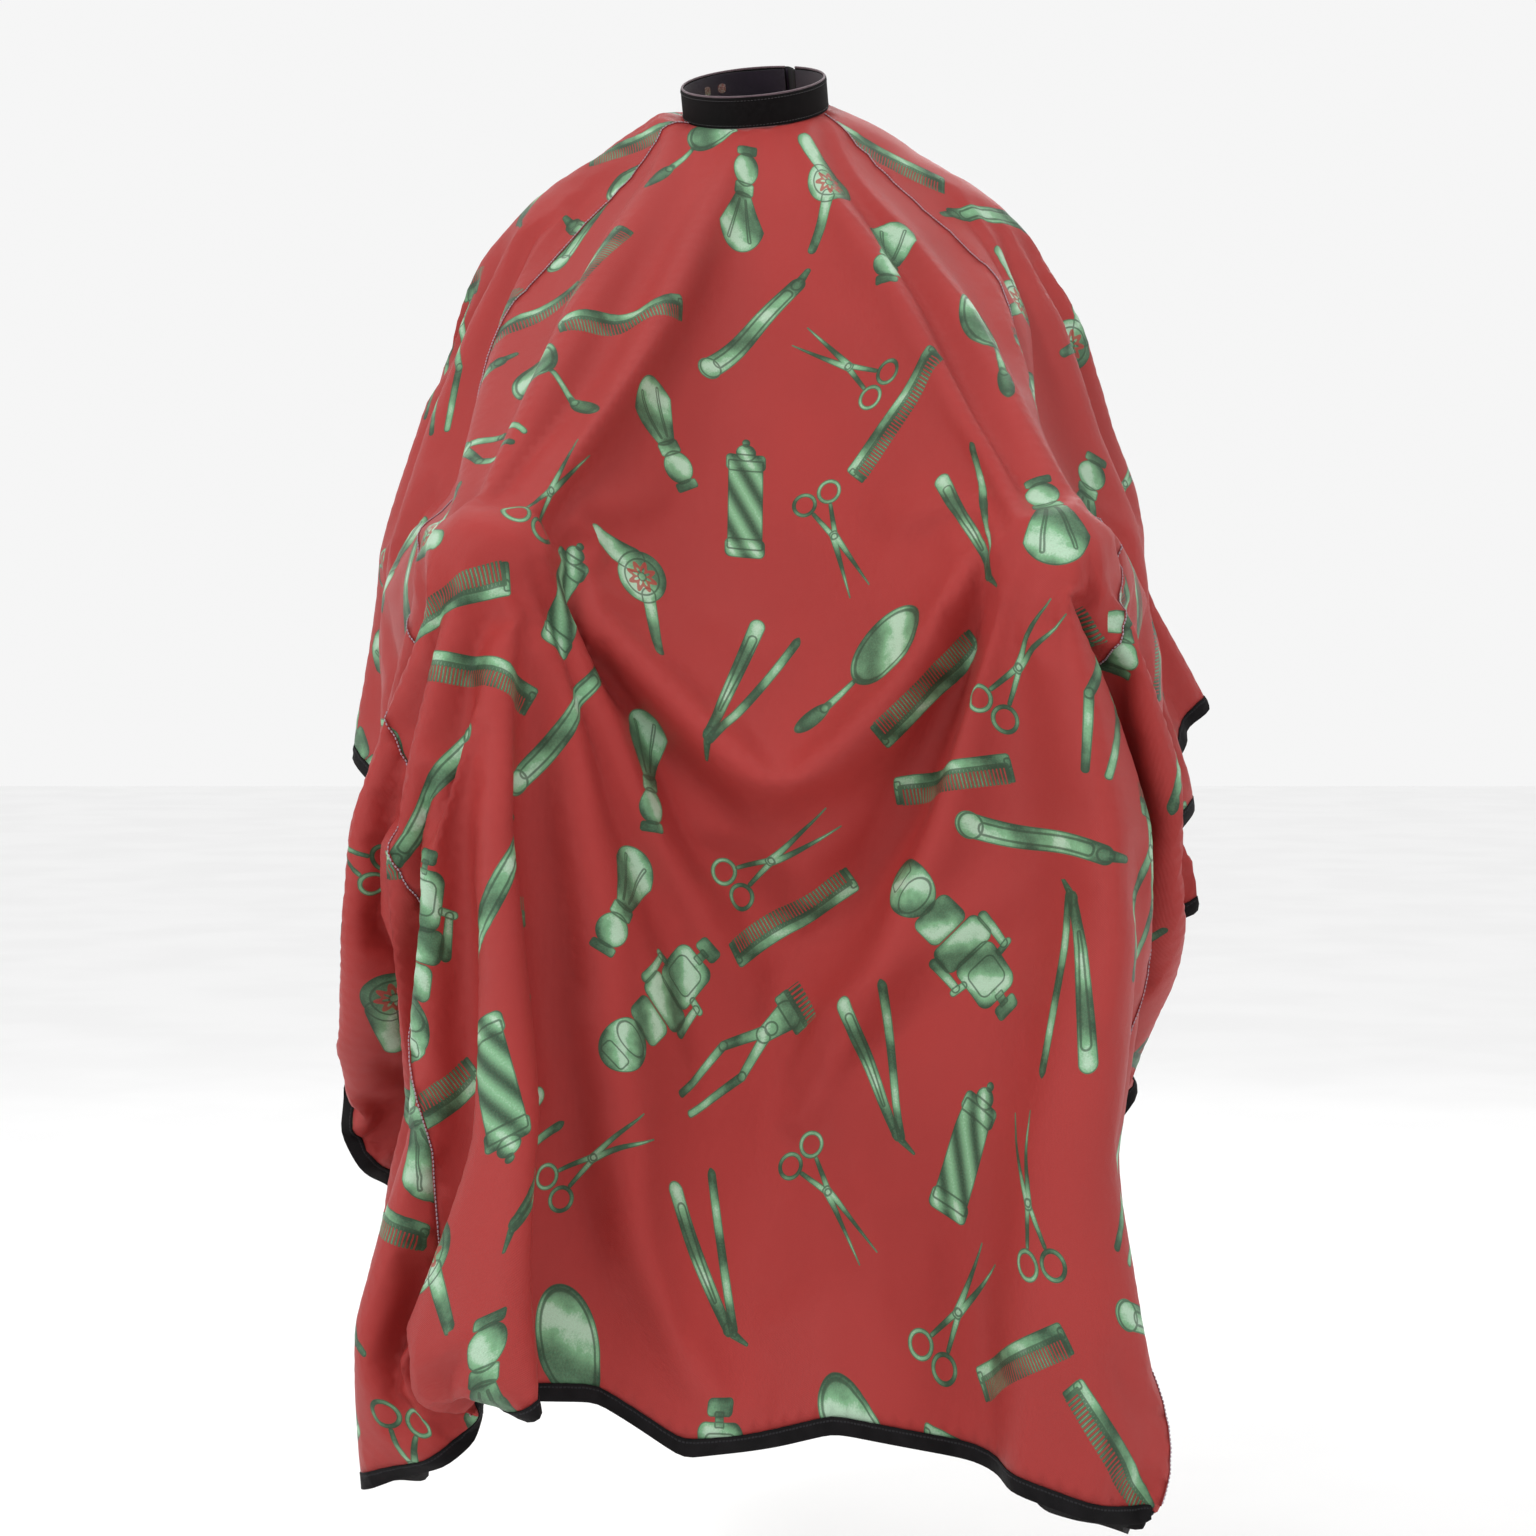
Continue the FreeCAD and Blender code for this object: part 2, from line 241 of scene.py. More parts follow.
def open_razor(g, p):
    blade = g.limb(p, (0, -70), (17, 66), 7.5, 9.0)
    return [
        g.math("MAXIMUM", blade, g.limb(p, (8, -70), (26, 66), 8.5, 9.0)),
        g.limb(p, (-1, -70), (-21, 62), 4.6, 8.2),
        g.spot(p, (-1, -68), 5.5),
        g.limb(p, (2, -74), (11, -88), 3.6, 1.6),
        g.limb(p, (-6, -40), (-18, 48), 1.2, 4.2),
    ]


def razor_handle(g, p):
    x, y, _ = g.parts(p)
    bent = g.joined(x, g.math("MULTIPLY_ADD", g.math("SINE", g.math("MULTIPLY", x, 0.045)), -3.0, y))
    return [
        g.limb(bent, (-60, 0), (62, 0), 10.0, 7.5),
        g.block(bent, (0, 0), 54, 4.6, 4),
        g.spot(bent, (-62, 0), 11.0),
        g.limb(bent, (62, 0), (78, 3), 5.0, 3.0),
    ]


def hair_dryer(g, p):
    return [
        g.spot(p, (0, 16), 27),
        g.limb(p, (-10, 32), (-56, 42), 13, 9.5),
        g.limb(p, (8, -2), (20, -62), 7.5, 5.0),
        g.spot(p, (0, 16), 19),
        g.spot(p, (0, 16), 4.5),
    ]


def striped_pole(g, p):
    return [
        g.block(p, (0, 0), 17.5, 48, 2),
        g.block(p, (0, 46), 20, 9, 5),
        g.block(p, (0, -47), 20, 10, 6),
        g.oval(p, (0, 57), 10, 9),
        g.spot(p, (0, 68), 4.0),
    ]


def hand_clippers(g, p):
    half = g.both_sides(p)
    x, y, _ = g.parts(p)
    gap = g.math("ABSOLUTE", g.math("SUBTRACT", g.math("FRACT", g.math("MULTIPLY", x, 0.22)), 0.5))
    teeth = g.math("MULTIPLY", g.math("SUBTRACT", gap, 0.28), 4.5)
    return [
        g.math("MAXIMUM", g.block(p, (0, 70), 20, 8, 1), teeth),
        g.block(p, (0, 58), 21, 8, 3),
        g.limb(p, (0, 52), (0, 26), 14, 8),
        g.limb(half, (3, 24), (17, -14), 5.4, 4.4),
        g.limb(half, (17, -14), (9, -78), 4.4, 3.4),
        g.spot(p, (0, 34), 6),
    ]


def barber_chair(g, p):
    half = g.both_sides(p)
    return [
        g.block(p, (0, 101), 15, 8, 5),
        g.block(p, (0, 90), 5, 7, 1),
        g.block(p, (0, 58), 26, 30, 12),
        g.block(p, (0, 60), 18, 17, 8),
        g.block(p, (0, 14), 32, 17, 9),
        g.limb(half, (35, 46), (36, 8), 4.5, 6.0),
        g.limb(half, (27, 50), (40, 48), 4.2, 4.2),
        g.block(p, (0, -22), 25, 18, 9),
        g.oval(p, (0, -72), 29, 35),
        g.oval(p, (0, -60), 22, 14),
        g.block(p, (0, -90), 17, 8, 4),
    ]


def shaving_brush(g, p):
    fan = g.oval(p, (0, 26), 29, 34)
    return [
        g.math("MAXIMUM", fan, g.limb(p, (0, -16), (0, 60), 6, 40)),
        g.block(p, (0, -12), 13, 7, 3),
        g.oval(p, (0, -33), 17, 17),
        g.block(p, (0, -53), 13, 5, 3),
        g.limb(p, (-4, 0), (-13, 46), 0.8, 1.6),
        g.limb(p, (4, 0), (13, 46), 0.8, 1.6),
    ]


# Each motif with its half length and half width in metres, the direction it runs, and its usual size
MOTIFS = {
    "mirror": (hand_mirror, 0.077, 0.026, (0, 1), 0.94),
    "comb": (comb, 0.078, 0.015, (1, 0), 0.76),
    "scissors": (scissors, 0.076, 0.026, (0, 1), 0.76),
    "razor": (open_razor, 0.080, 0.028, (0, 1), 0.86),
    "handle": (razor_handle, 0.076, 0.013, (1, 0), 0.95),
    "dryer": (hair_dryer, 0.058, 0.044, (0, 1), 0.85),
    "pole": (striped_pole, 0.072, 0.020, (0, 1), 0.88),
    "clippers": (hand_clippers, 0.080, 0.023, (0, 1), 0.88),
    "chair": (barber_chair, 0.108, 0.040, (0, 1), 0.72),
    "brush": (shaving_brush, 0.060, 0.029, (0, 1), 0.84),
}


def tool_print():
    """The all-over print as one node group: where it covers the ground, its drawn lines, and its light and dark."""
    group = bpy.data.node_groups.new("tool_print", "ShaderNodeTree")
    group.interface.new_socket("Place", in_out="INPUT", socket_type="NodeSocketVector")
    for name in ("Cover", "Line", "Tone", "Flower"):
        group.interface.new_socket(name, in_out="OUTPUT", socket_type="NodeSocketFloat")
    g = Draft(group)
    place = g.add("NodeGroupInput").outputs[0]
    x, y, kind = g.parts(place)
    p = g.joined(x, y)
    covers, lines = [], []
    for number, (draw, *_) in enumerate(MOTIFS.values(), 1):
        away = g.math("MULTIPLY_ADD", g.math("COMPARE", kind, float(number), 0.5), -900.0, 900.0)
        shapes = draw(g, p)
        covers.append(g.math("ADD", g.lowest(shapes), away))
        edges = [g.math("ABSOLUTE", shape) for shape in shapes]
        lines.append(g.math("ADD", g.lowest(edges), away))
    cover = g.lowest(covers)
    line = g.lowest(lines)
    numbers = {name: float(i) for i, name in enumerate(MOTIFS, 1)}

    # Metallic light and dark: broad diagonal bands, broken by noise, tighter on the striped pole
    slant = g.math("MULTIPLY_ADD", y, 0.085, g.math("MULTIPLY_ADD", x, 0.075, g.math("MULTIPLY", kind, 2.1)))
    wander = g.math("MULTIPLY", g.noise(p, 0.05, 2.0), 3.4)
    bands = g.math("SINE", g.math("ADD", slant, wander))
    stripes = g.math("SINE", g.math("MULTIPLY_ADD", y, 0.15, g.math("MULTIPLY", x, 0.26)))
    stripes = g.math("MULTIPLY", stripes, 0.95)
    is_pole = g.math("COMPARE", kind, numbers["pole"], 0.5)
    swing = g.math("SUBTRACT", stripes, bands)
    bands = g.math("MULTIPLY_ADD", swing, is_pole, bands)
    tone = g.math("MULTIPLY_ADD", bands, 0.40, 0.58)
    rim = g.fade(cover, -7.0, -0.5, 0.0, 0.22)
    tone = g.math("SUBTRACT", tone, rim)
    speckle = g.noise(p, 0.55, 3.0, 0.65)
    tone = g.math("MULTIPLY_ADD", g.math("SUBTRACT", speckle, 0.5), 0.42, tone)

    # The dryer's vent is a red flower
    out = g.vector("SUBTRACT", p, (0, 16, 0))
    ox, oy, _ = g.parts(out)
    petals = g.math("SINE", g.math("MULTIPLY", g.math("ARCTAN2", oy, ox), 8.0))
    reach = g.math("MULTIPLY_ADD", petals, 3.2, g.vector("LENGTH", out))
    ring = g.math("ABSOLUTE", g.math("SUBTRACT", reach, 10.5))
    flower = g.fade(ring, 3.0, 3.8, 1.0, 0.0)
    flower = g.math("MULTIPLY", flower, g.math("COMPARE", kind, numbers["dryer"], 0.5))

    ends = g.add("NodeGroupOutput")
    g.feed(ends.inputs["Cover"], g.fade(cover, -0.25, 0.45, 1.0, 0.0))
    g.feed(ends.inputs["Line"], g.fade(line, 0.55, 1.35, 1.0, 0.0))
    g.feed(ends.inputs["Tone"], tone)
    g.feed(ends.inputs["Flower"], flower)
    return group


# The wearer's form, over which the cloth falls. It is taken away again once the cloth has settled.


def round_bar(bm, start, end, start_radius, end_radius, steps=10):
    for i in range(steps + 1):
        share = i / steps
        centre = Vector(start).lerp(Vector(end), share)
        radius = start_radius + (end_radius - start_radius) * share
        matrix = Matrix.Translation(centre)
        bmesh.ops.create_uvsphere(bm, u_segments=20, v_segments=12, radius=radius, matrix=matrix)


def seated_form():
    """A plain seated shape: neck, shoulders, arms forward and apart, thighs and shins."""
    bm = bmesh.new()
    for centre, radii in (((0, 0.02, -0.30), (0.17, 0.115, 0.26)), ((0, -0.02, -0.52), (0.18, 0.14, 0.16))):
        matrix = Matrix.Translation(centre) @ Matrix.Diagonal((*radii, 1))
        bmesh.ops.create_uvsphere(bm, u_segments=32, v_segments=20, radius=1, matrix=matrix)
    round_bar(bm, (-0.03, -0.33, -0.85), (-0.03, -0.38, -1.20), 0.030, 0.045)
    round_bar(bm, (0, 0, 0.02), (0, 0.01, -0.12), 0.056, 0.070)
    for side in (-1, 1):
        elbow = (side * 0.305 + 0.01, 0, -0.42)
        knee = (side * 0.19, -0.34, -0.64)
        round_bar(bm, (side * 0.03, 0.01, -0.058), (side * 0.195, 0.015, -0.130), 0.050, 0.055)
        round_bar(bm, (side * 0.190, 0.015, -0.155), elbow, 0.054, 0.045)
        round_bar(bm, elbow, (side * 0.235 + 0.02, -0.39, -0.43), 0.045, 0.050)
        round_bar(bm, (side * 0.09, -0.02, -0.60), knee, 0.085, 0.065)
        round_bar(bm, knee, (side * 0.225, -0.36, -1.12), 0.065, 0.060)
    mesh = bpy.data.meshes.new("wearer_form")
    bm.to_mesh(mesh)
    bm.free()
    form = bpy.data.objects.new("wearer_form", mesh)
    bpy.context.scene.collection.objects.link(form)
    skin = form.modifiers.new("skin", "REMESH")
    skin.mode = "VOXEL"
    skin.voxel_size = 0.014
    ease = form.modifiers.new("ease", "SMOOTH")
    ease.factor = 0.5
    ease.iterations = 6
    keep_result(form)
    form.modifiers.new("touch", "COLLISION")
    form.collision.thickness_outer = 0.006
    form.collision.cloth_friction = 1.0
    form.collision.damping = 0.5
    return form


def keep_result(obj):
    """Turns an object's modifiers into its mesh."""
    graph = bpy.context.evaluated_depsgraph_get()
    mesh = bpy.data.meshes.new_from_object(obj.evaluated_get(graph))
    obj.modifiers.clear()
    obj.data = mesh
    return obj


# The flat sheet. x runs across it and y towards the back, from the middle of the neckline.


def arc(cx, cy, radius, first, last, steps):
    turns = [math.radians(first + (last - first) * i / steps) for i in range(steps + 1)]
    return [(cx + radius * math.cos(t), cy + radius * math.sin(t)) for t in turns]


def evenly(points, step):
    """Points a near-equal step apart along straight runs, with every corner kept."""
    result = [Vector(points[0])]
    for start, end in zip(points, points[1:]):
        start, end = Vector(start), Vector(end)
        count = max(1, round((end - start).length / step))
        result += [start.lerp(end, i / count) for i in range(1, count + 1)]
    return result


def edge_line(sizes, inset):
    """The sheet's cut edge, or a line at an equal distance inside it, from one side of the slit round to the other."""
    half, front, back = sizes.width / 2 - inset, sizes.front - inset, sizes.back - inset
    corner = sizes.corner - inset
    slit = sizes.slit + inset
    start = math.sqrt(sizes.neckline**2 - slit**2)
    line = [(slit, start), (slit, back)]
    line += arc(half - corner, back - corner, corner, 90, 0, 6)
    line += arc(half - corner, corner - front, corner, 0, -90, 6)
    line += arc(corner - half, corner - front, corner, -90, -180, 6)
    line += arc(corner - half, back - corner, corner, 180, 90, 6)
    return line + [(-slit, back), (-slit, start)]


def seam_line(sizes, side):
    """The line of one long seam, from the neckline out over the shoulder and down to the front hem."""
    turn = math.radians(-25)
    foot = (0.40, -sizes.front)
    guide = [(sizes.neckline * math.cos(turn), sizes.neckline * math.sin(turn))]
    guide += [(0.24, -0.08), (0.37, -0.30), (0.42, -0.55), foot]
    fine = []
    for i in range(61):
        level = [Vector(point) for point in guide]
        while len(level) > 1:
            level = [a.lerp(b, i / 60) for a, b in zip(level, level[1:])]
        fine.append(level[0])
    runs = [0.0]
    for start, end in zip(fine, fine[1:]):
        runs.append(runs[-1] + (end - start).length)
    count = round(runs[-1] / sizes.cell)
    marks = np.linspace(0, runs[-1], count + 1)
    xs = np.interp(marks, runs, [p.x for p in fine])
    ys = np.interp(marks, runs, [p.y for p in fine])
    return [Vector((side * x, y)) for x, y in zip(xs, ys)]


def cut_sheet(sizes, inset=0):
    """The sheet cut flat, as a mesh of near-even triangles that follow its edges and seams, and the bindings' inner line."""
    cell = sizes.cell
    ring = arc(0, 0, sizes.neckline, 90 + sizes.slit_turn, 450 - sizes.slit_turn, 44)
    edge = edge_line(sizes, 0)[1:-1]
    outline = evenly(edge + ring + edge[:1], cell)[:-1]
    lines = [seam_line(sizes, -1), seam_line(sizes, 1)]
    if inset:
        lines.append(evenly(edge_line(sizes, inset), cell))
    points = list(outline)
    wires = [(i, (i + 1) % len(outline)) for i in range(len(outline))]
    for line in lines:
        base = len(points)
        points += line
        wires += [(base + i, base + i + 1) for i in range(len(line) - 1)]
    tree = KDTree(len(points))
    for i, point in enumerate(points):
        tree.insert((*point, 0), i)
    tree.balance()
    half = sizes.width / 2
    rows = int((sizes.front + sizes.back) / (cell * 0.866)) + 2
    for j in range(rows):
        y = -sizes.front + j * cell * 0.866
        for x in np.arange(-half, half + cell, cell) + (j % 2) * cell / 2:
            within = abs(x) < half - cell / 2 and cell / 2 - sizes.front < y < sizes.back - cell / 2
            open_part = math.hypot(x, y) < sizes.neckline + cell / 2 or (abs(x) < sizes.slit + cell / 2 and y > 0)
            if within and not open_part and tree.find((x, y, 0))[2] > 0.62 * cell:
                points.append(Vector((x, y)))
    loop = [list(range(len(outline)))]
    flat, _, faces, *_ = delaunay_2d_cdt(points, wires, loop, 1, 1e-6, False)
    return np.array([tuple(p) for p in flat]), faces


def zone_of(sizes, x, y, seam):
    """Which sewn piece a place on the flat sheet belongs to."""
    side = "left" if x > 0 else "right"
    away = {
        "side_binding": sizes.width / 2 - abs(x),
        "back_hem_binding": sizes.back - y,
        "opening_binding": abs(x) - sizes.slit if y > 0 else 1.0,
        "hem": y + sizes.front,
    }
    nearest = min(away, key=away.get)
    if away[nearest] < sizes.binding:
        if nearest != "hem":
            return ZONES[f"{side}_{nearest}"]
        return ZONES["front_hem_binding" if abs(x) < seam[0][-1] else f"{side}_side_binding"]
    if y < seam[1][0] and abs(x) < np.interp(-y, -seam[1], seam[0]):
        return ZONES["front_panel"]
    return ZONES[f"{side}_panel"]


def on_neck(x, y, z):
    return TILT @ Vector((x, y, z))


def settle(sizes, flat, faces):
    """Lets the flat sheet fall over the seated form, held at the neckline, and gives where it comes to rest."""
    form = seated_form()
    out = np.hypot(flat[:, 0], flat[:, 1])
    near = np.exp(-(out - sizes.neckline) / 0.15)
    start = np.zeros((len(flat), 3))
    start[:, :2] = flat
    lean = 0.05 * flat[:, 0] + math.tan(math.radians(20)) * flat[:, 1]
    start[:, 2] = -0.016 - 0.30 * (out - sizes.neckline) + lean * near
    held = [i for i in range(len(flat)) if out[i] < sizes.neckline + 1e-4]
    mesh = bpy.data.meshes.new("falling_sheet")
    mesh.from_pydata(start.tolist(), [], faces)
    sheet = bpy.data.objects.new("falling_sheet", mesh)
    bpy.context.scene.collection.objects.link(sheet)
    sheet.vertex_groups.new(name="neckline").add(held, 1.0, "REPLACE")
    cloth = sheet.modifiers.new("cloth", "CLOTH")
    stuff = cloth.settings
    stuff.quality = 6
    stuff.mass = 0.15
    stuff.air_damping = 2
    stuff.tension_stiffness = stuff.compression_stiffness = 40
    stuff.shear_stiffness = 15
    stuff.bending_stiffness = 2
    stuff.tension_damping = stuff.compression_damping = stuff.shear_damping = 5
    stuff.bending_damping = 0.5
    stuff.vertex_group_mass = "neckline"
    touch = cloth.collision_settings
    touch.distance_min = touch.self_distance_min = 0.004
    touch.collision_quality = 3
    touch.use_self_collision = True
    scene = bpy.context.scene
    scene.frame_start = 1
    scene.frame_end = 60
    cloth.point_cache.frame_start = 1
    cloth.point_cache.frame_end = 65
    for number in range(1, 61):
        scene.frame_set(number)
    keep_result(sheet)
    rest = np.zeros(len(flat) * 3)
    sheet.data.vertices.foreach_get("co", rest)
    for obj in (sheet, form):
        data = obj.data
        bpy.data.objects.remove(obj)
        bpy.data.meshes.remove(data)
    scene.frame_set(1)
    return rest.reshape(-1, 3)


# --- rest ---
# How the settled cloth is drawn in at each height (m), on the right and on the left of the wearer
DRAWN_IN = (
    (-1.20, 0.96, 0.87),
    (-1.00, 0.95, 0.87),
    (-0.85, 0.86, 0.86),
    (-0.70, 0.93, 0.98),
    (-0.62, 0.97, 1.00),
    (-0.45, 0.94, 0.90),
    (-0.30, 0.93, 0.92),
    (-0.20, 0.92, 0.975),
    (-0.13, 0.88, 0.95),
    (-0.08, 0.79, 0.86),
    (-0.05, 0.83, 0.88),
    (-0.02, 1.00, 1.00),
)
# How far the front hem is lifted (mm) at places across the flat sheet (m)
HEM_LIFT = (
    (-0.725, 5),
    (-0.64, 22),
    (-0.50, 0),
    (-0.37, -45),
    (-0.24, 32),
    (-0.12, 30),
    (-0.05, -12),
    (0.08, 14),
    (0.20, -8),
    (0.33, -50),
    (0.42, -72),
    (0.55, -50),
    (0.725, -36),
)


# Folds pressed into the front: a line in centimetres across and down from the neck, its reach (cm) and its rise (mm)
FOLDS = (
    (((-27, 53), (-18, 56), (-9, 62), (-1, 68), (3, 69), (11, 64), (19, 57), (27, 51)), 1.7, 11),
    (((-26, 58), (-17, 61), (-8, 67), (0, 73), (4, 73), (12, 69), (20, 62), (28, 56)), 2.0, -10),
    (((-20, 45), (-12, 48), (-4, 54), (2, 58), (9, 54), (16, 48)), 1.8, 5),
    (((-23, 60), (-24, 72), (-22, 86), (-21, 98)), 1.5, 8),
    (((-20, 62), (-19, 74), (-17, 88)), 1.5, -7),
    (((31, 56), (32, 66), (32, 78), (33, 88)), 1.4, 9),
    (((34, 57), (35, 67), (35, 79)), 1.4, -9),
    (((28, 76), (20, 81), (12, 86), (6, 88)), 1.7, 7),
    (((29, 81), (21, 86), (13, 91), (8, 94)), 1.8, -6),
    (((6, 76), (7, 88), (10, 100), (12, 112)), 2.2, 5),
    (((-10, 88), (-9, 100), (-11, 112)), 1.8, 6),
)


def dressed(sizes, flat, rest, faces):
    """Eases the neckline into the band and settles the hem as the cape is worn."""
    out = np.hypot(flat[:, 0], flat[:, 1])
    turn = np.arctan2(flat[:, 1], flat[:, 0])
    worn = rest.copy()
    near = np.exp(-((out - sizes.neckline) / 0.045) ** 2)
    for i in np.nonzero(near > 0.002)[0]:
        x, y = math.cos(turn[i]), math.sin(turn[i])
        lean = (0.05 * x + math.tan(math.radians(20)) * y) * sizes.neckline
        held = Vector((x * sizes.neckline, y * sizes.neckline, -0.016 + lean))
        seat = on_neck(sizes.seat * x, sizes.seat * y, -BAND_HEIGHT / 2 - 0.0004)
        worn[i] += np.array(seat - held) * near[i]
    loose = (np.clip((out - sizes.neckline - 0.03) / 0.12, 0, 1) * np.clip(0.1 - 4 * flat[:, 1], 0, 1))[:, None]
    calm = worn.copy()
    edges = np.array(sorted({tuple(sorted(pair)) for face in faces for pair in zip(face, face[1:] + face[:1])}))
    count = np.bincount(edges.ravel(), minlength=len(flat))[:, None]
    for _ in range(45):
        total = np.zeros_like(calm)
        np.add.at(total, edges[:, 0], calm[edges[:, 1]])
        np.add.at(total, edges[:, 1], calm[edges[:, 0]])
        calm = calm + 0.6 * (total / count - calm)
    worn += (worn - calm) * 0.45 * loose
    height, right, left = np.array(DRAWN_IN).T
    share = np.where(worn[:, 0] < 0, np.interp(worn[:, 2], height, right), np.interp(worn[:, 2], height, left))
    worn[:, 0] *= 1 + (share - 1) * np.clip((out - sizes.neckline) / 0.04, 0, 1)
    across, lift = np.array(HEM_LIFT).T
    low = np.clip((-flat[:, 1] - 0.72) / (sizes.front - 0.72), 0, 1)
    worn[:, 2] += (np.interp(flat[:, 0], across, lift) + 7) / 1000 * low**2 * (3 - 2 * low)
    for line, reach, rise in FOLDS:
        ends = np.array(line) / 100 * (1, -1)
        away = np.full(len(flat), np.inf)
        for a, b in zip(ends, ends[1:]):
            run = b - a
            share = np.clip((flat - a) @ run / (run @ run), 0, 1)
            away = np.minimum(away, np.linalg.norm(flat - a - share[:, None] * run, axis=1))
        worn[:, 1] -= rise / 1000 * np.exp(-((away * 100 / reach) ** 2))
    return worn


def resting_on(sizes, flat, faces, worn, places):
    """Where places on the flat sheet lie on the settled cloth."""
    mesh = bpy.data.meshes.new("settled")
    mesh.from_pydata(np.column_stack([flat, np.zeros(len(flat))]).tolist(), [], faces)
    bm = bmesh.new()
    bm.from_mesh(mesh)
    bmesh.ops.triangulate(bm, faces=bm.faces)
    bpy.data.meshes.remove(mesh)
    tree = BVHTree.FromBMesh(bm)
    bm.faces.ensure_lookup_table()
    result = []
    for x, y in places:
        point, _, index, _ = tree.find_nearest((x, y, 0))
        corners = [v for v in bm.faces[index].verts]
        seats = [Vector(worn[v.index]) for v in corners]
        result.append(barycentric_transform(point, *[v.co for v in corners], *seats))
    bm.free()
    return result


def whole_cloth(sizes):
    """The settled cloth with its pieces marked, one smoothing finer than it was draped."""
    flat, faces = cut_sheet(sizes)
    worn = dressed(sizes, flat, settle(sizes, flat, faces), faces)
    places, tiles = cut_sheet(sizes, sizes.binding)
    mesh = bpy.data.meshes.new(DRAPE)
    mesh.from_pydata(resting_on(sizes, flat, faces, worn, places), [], tiles)
    seam = np.array([tuple(p) for p in seam_line(sizes, 1)]).T
    zone = mesh.attributes.new("zone", "INT", "FACE")
    middles = [places[list(tile)].mean(axis=0) for tile in tiles]
    zone.data.foreach_set("value", [zone_of(sizes, x, y, seam) for x, y in middles])
    where = mesh.attributes.new("flat_place", "FLOAT_VECTOR", "POINT")
    where.data.foreach_set("vector", np.column_stack([places, np.zeros(len(places))]).ravel())
    cape = bpy.data.objects.new(DRAPE, mesh)
    bpy.context.scene.collection.objects.link(cape)
    soften = cape.modifiers.new("soften", "SUBSURF")
    soften.levels = soften.render_levels = 1
    soften.uv_smooth = "NONE"
    keep_result(cape).data.name = DRAPE
    return cape


def read_vectors(mesh, name):
    values = np.zeros(len(mesh.attributes[name].data) * 3)
    mesh.attributes[name].data.foreach_get("vector", values)
    return values.reshape(-1, 3)


def read_zones(mesh):
    zones = np.zeros(len(mesh.polygons), int)
    mesh.attributes["zone"].data.foreach_get("value", zones)
    return zones


def cut_piece(name, zone):
    """A copy of one marked piece of the settled cloth."""
    mesh = bpy.data.objects[DRAPE].data.copy()
    zones = read_zones(mesh)
    bm = bmesh.new()
    bm.from_mesh(mesh)
    bm.faces.ensure_lookup_table()
    others = [bm.faces[i] for i in np.nonzero(zones != ZONES[zone])[0]]
    bmesh.ops.delete(bm, geom=others, context="FACES")
    bm.to_mesh(mesh)
    bm.free()
    mesh.attributes.remove(mesh.attributes["zone"])
    mesh.name = name
    piece = bpy.data.objects.new(name, mesh)
    bpy.context.scene.collection.objects.link(piece)
    for polygon in mesh.polygons:
        polygon.use_smooth = True
    return piece


def flat_area(mesh):
    """The area of a piece as it lay on the cutting table."""
    places = read_vectors(mesh, "flat_place")[:, :2]
    total = 0.0
    for polygon in mesh.polygons:
        x, y = places[list(polygon.vertices)].T
        total += abs(np.dot(x, np.roll(y, -1)) - np.dot(y, np.roll(x, -1))) / 2
    return total


def print_layout(sizes, panel):
    """The motifs scattered over one panel. Each panel is cut from another length of the same cloth."""
    layout = []
    kinds = list(MOTIFS)
    rng = np.random.default_rng(4 + ZONES[panel])
    for i in range(12000):
        kind = kinds[i % len(kinds)]
        x = rng.uniform(-0.75, 0.75)
        y = rng.uniform(-sizes.front - 0.05, sizes.back + 0.05)
        turn = float(rng.uniform(-55, 55)) + (180 if rng.random() < 0.3 else 0)
        if all(gap_between((kind, x, y, turn, 1.0), other) > 0.012 for other in layout):
            layout.append((kind, x, y, turn, 1.0))
    return layout


def motif_bar(row):
    """A motif as a bar: its two ends and its half width."""
    kind, x, y, turn, size = row
    _, length, width, along, usual = MOTIFS[kind]
    size *= usual
    reach = Vector(along) * (length - width) * size
    reach.rotate(Matrix.Rotation(math.radians(turn), 2))
    return Vector((x, y)) - reach, Vector((x, y)) + reach, width * size


def gap_between(first, second):
    near = math.hypot(first[1] - second[1], first[2] - second[2])
    if near > 0.25:
        return near
    a, b, first_width = motif_bar(first)
    c, d, second_width = motif_bar(second)
    steps = [i / 4 for i in range(5)]
    gap = min((a.lerp(b, s) - c.lerp(d, t)).length for s in steps for t in steps)
    return gap - first_width - second_width


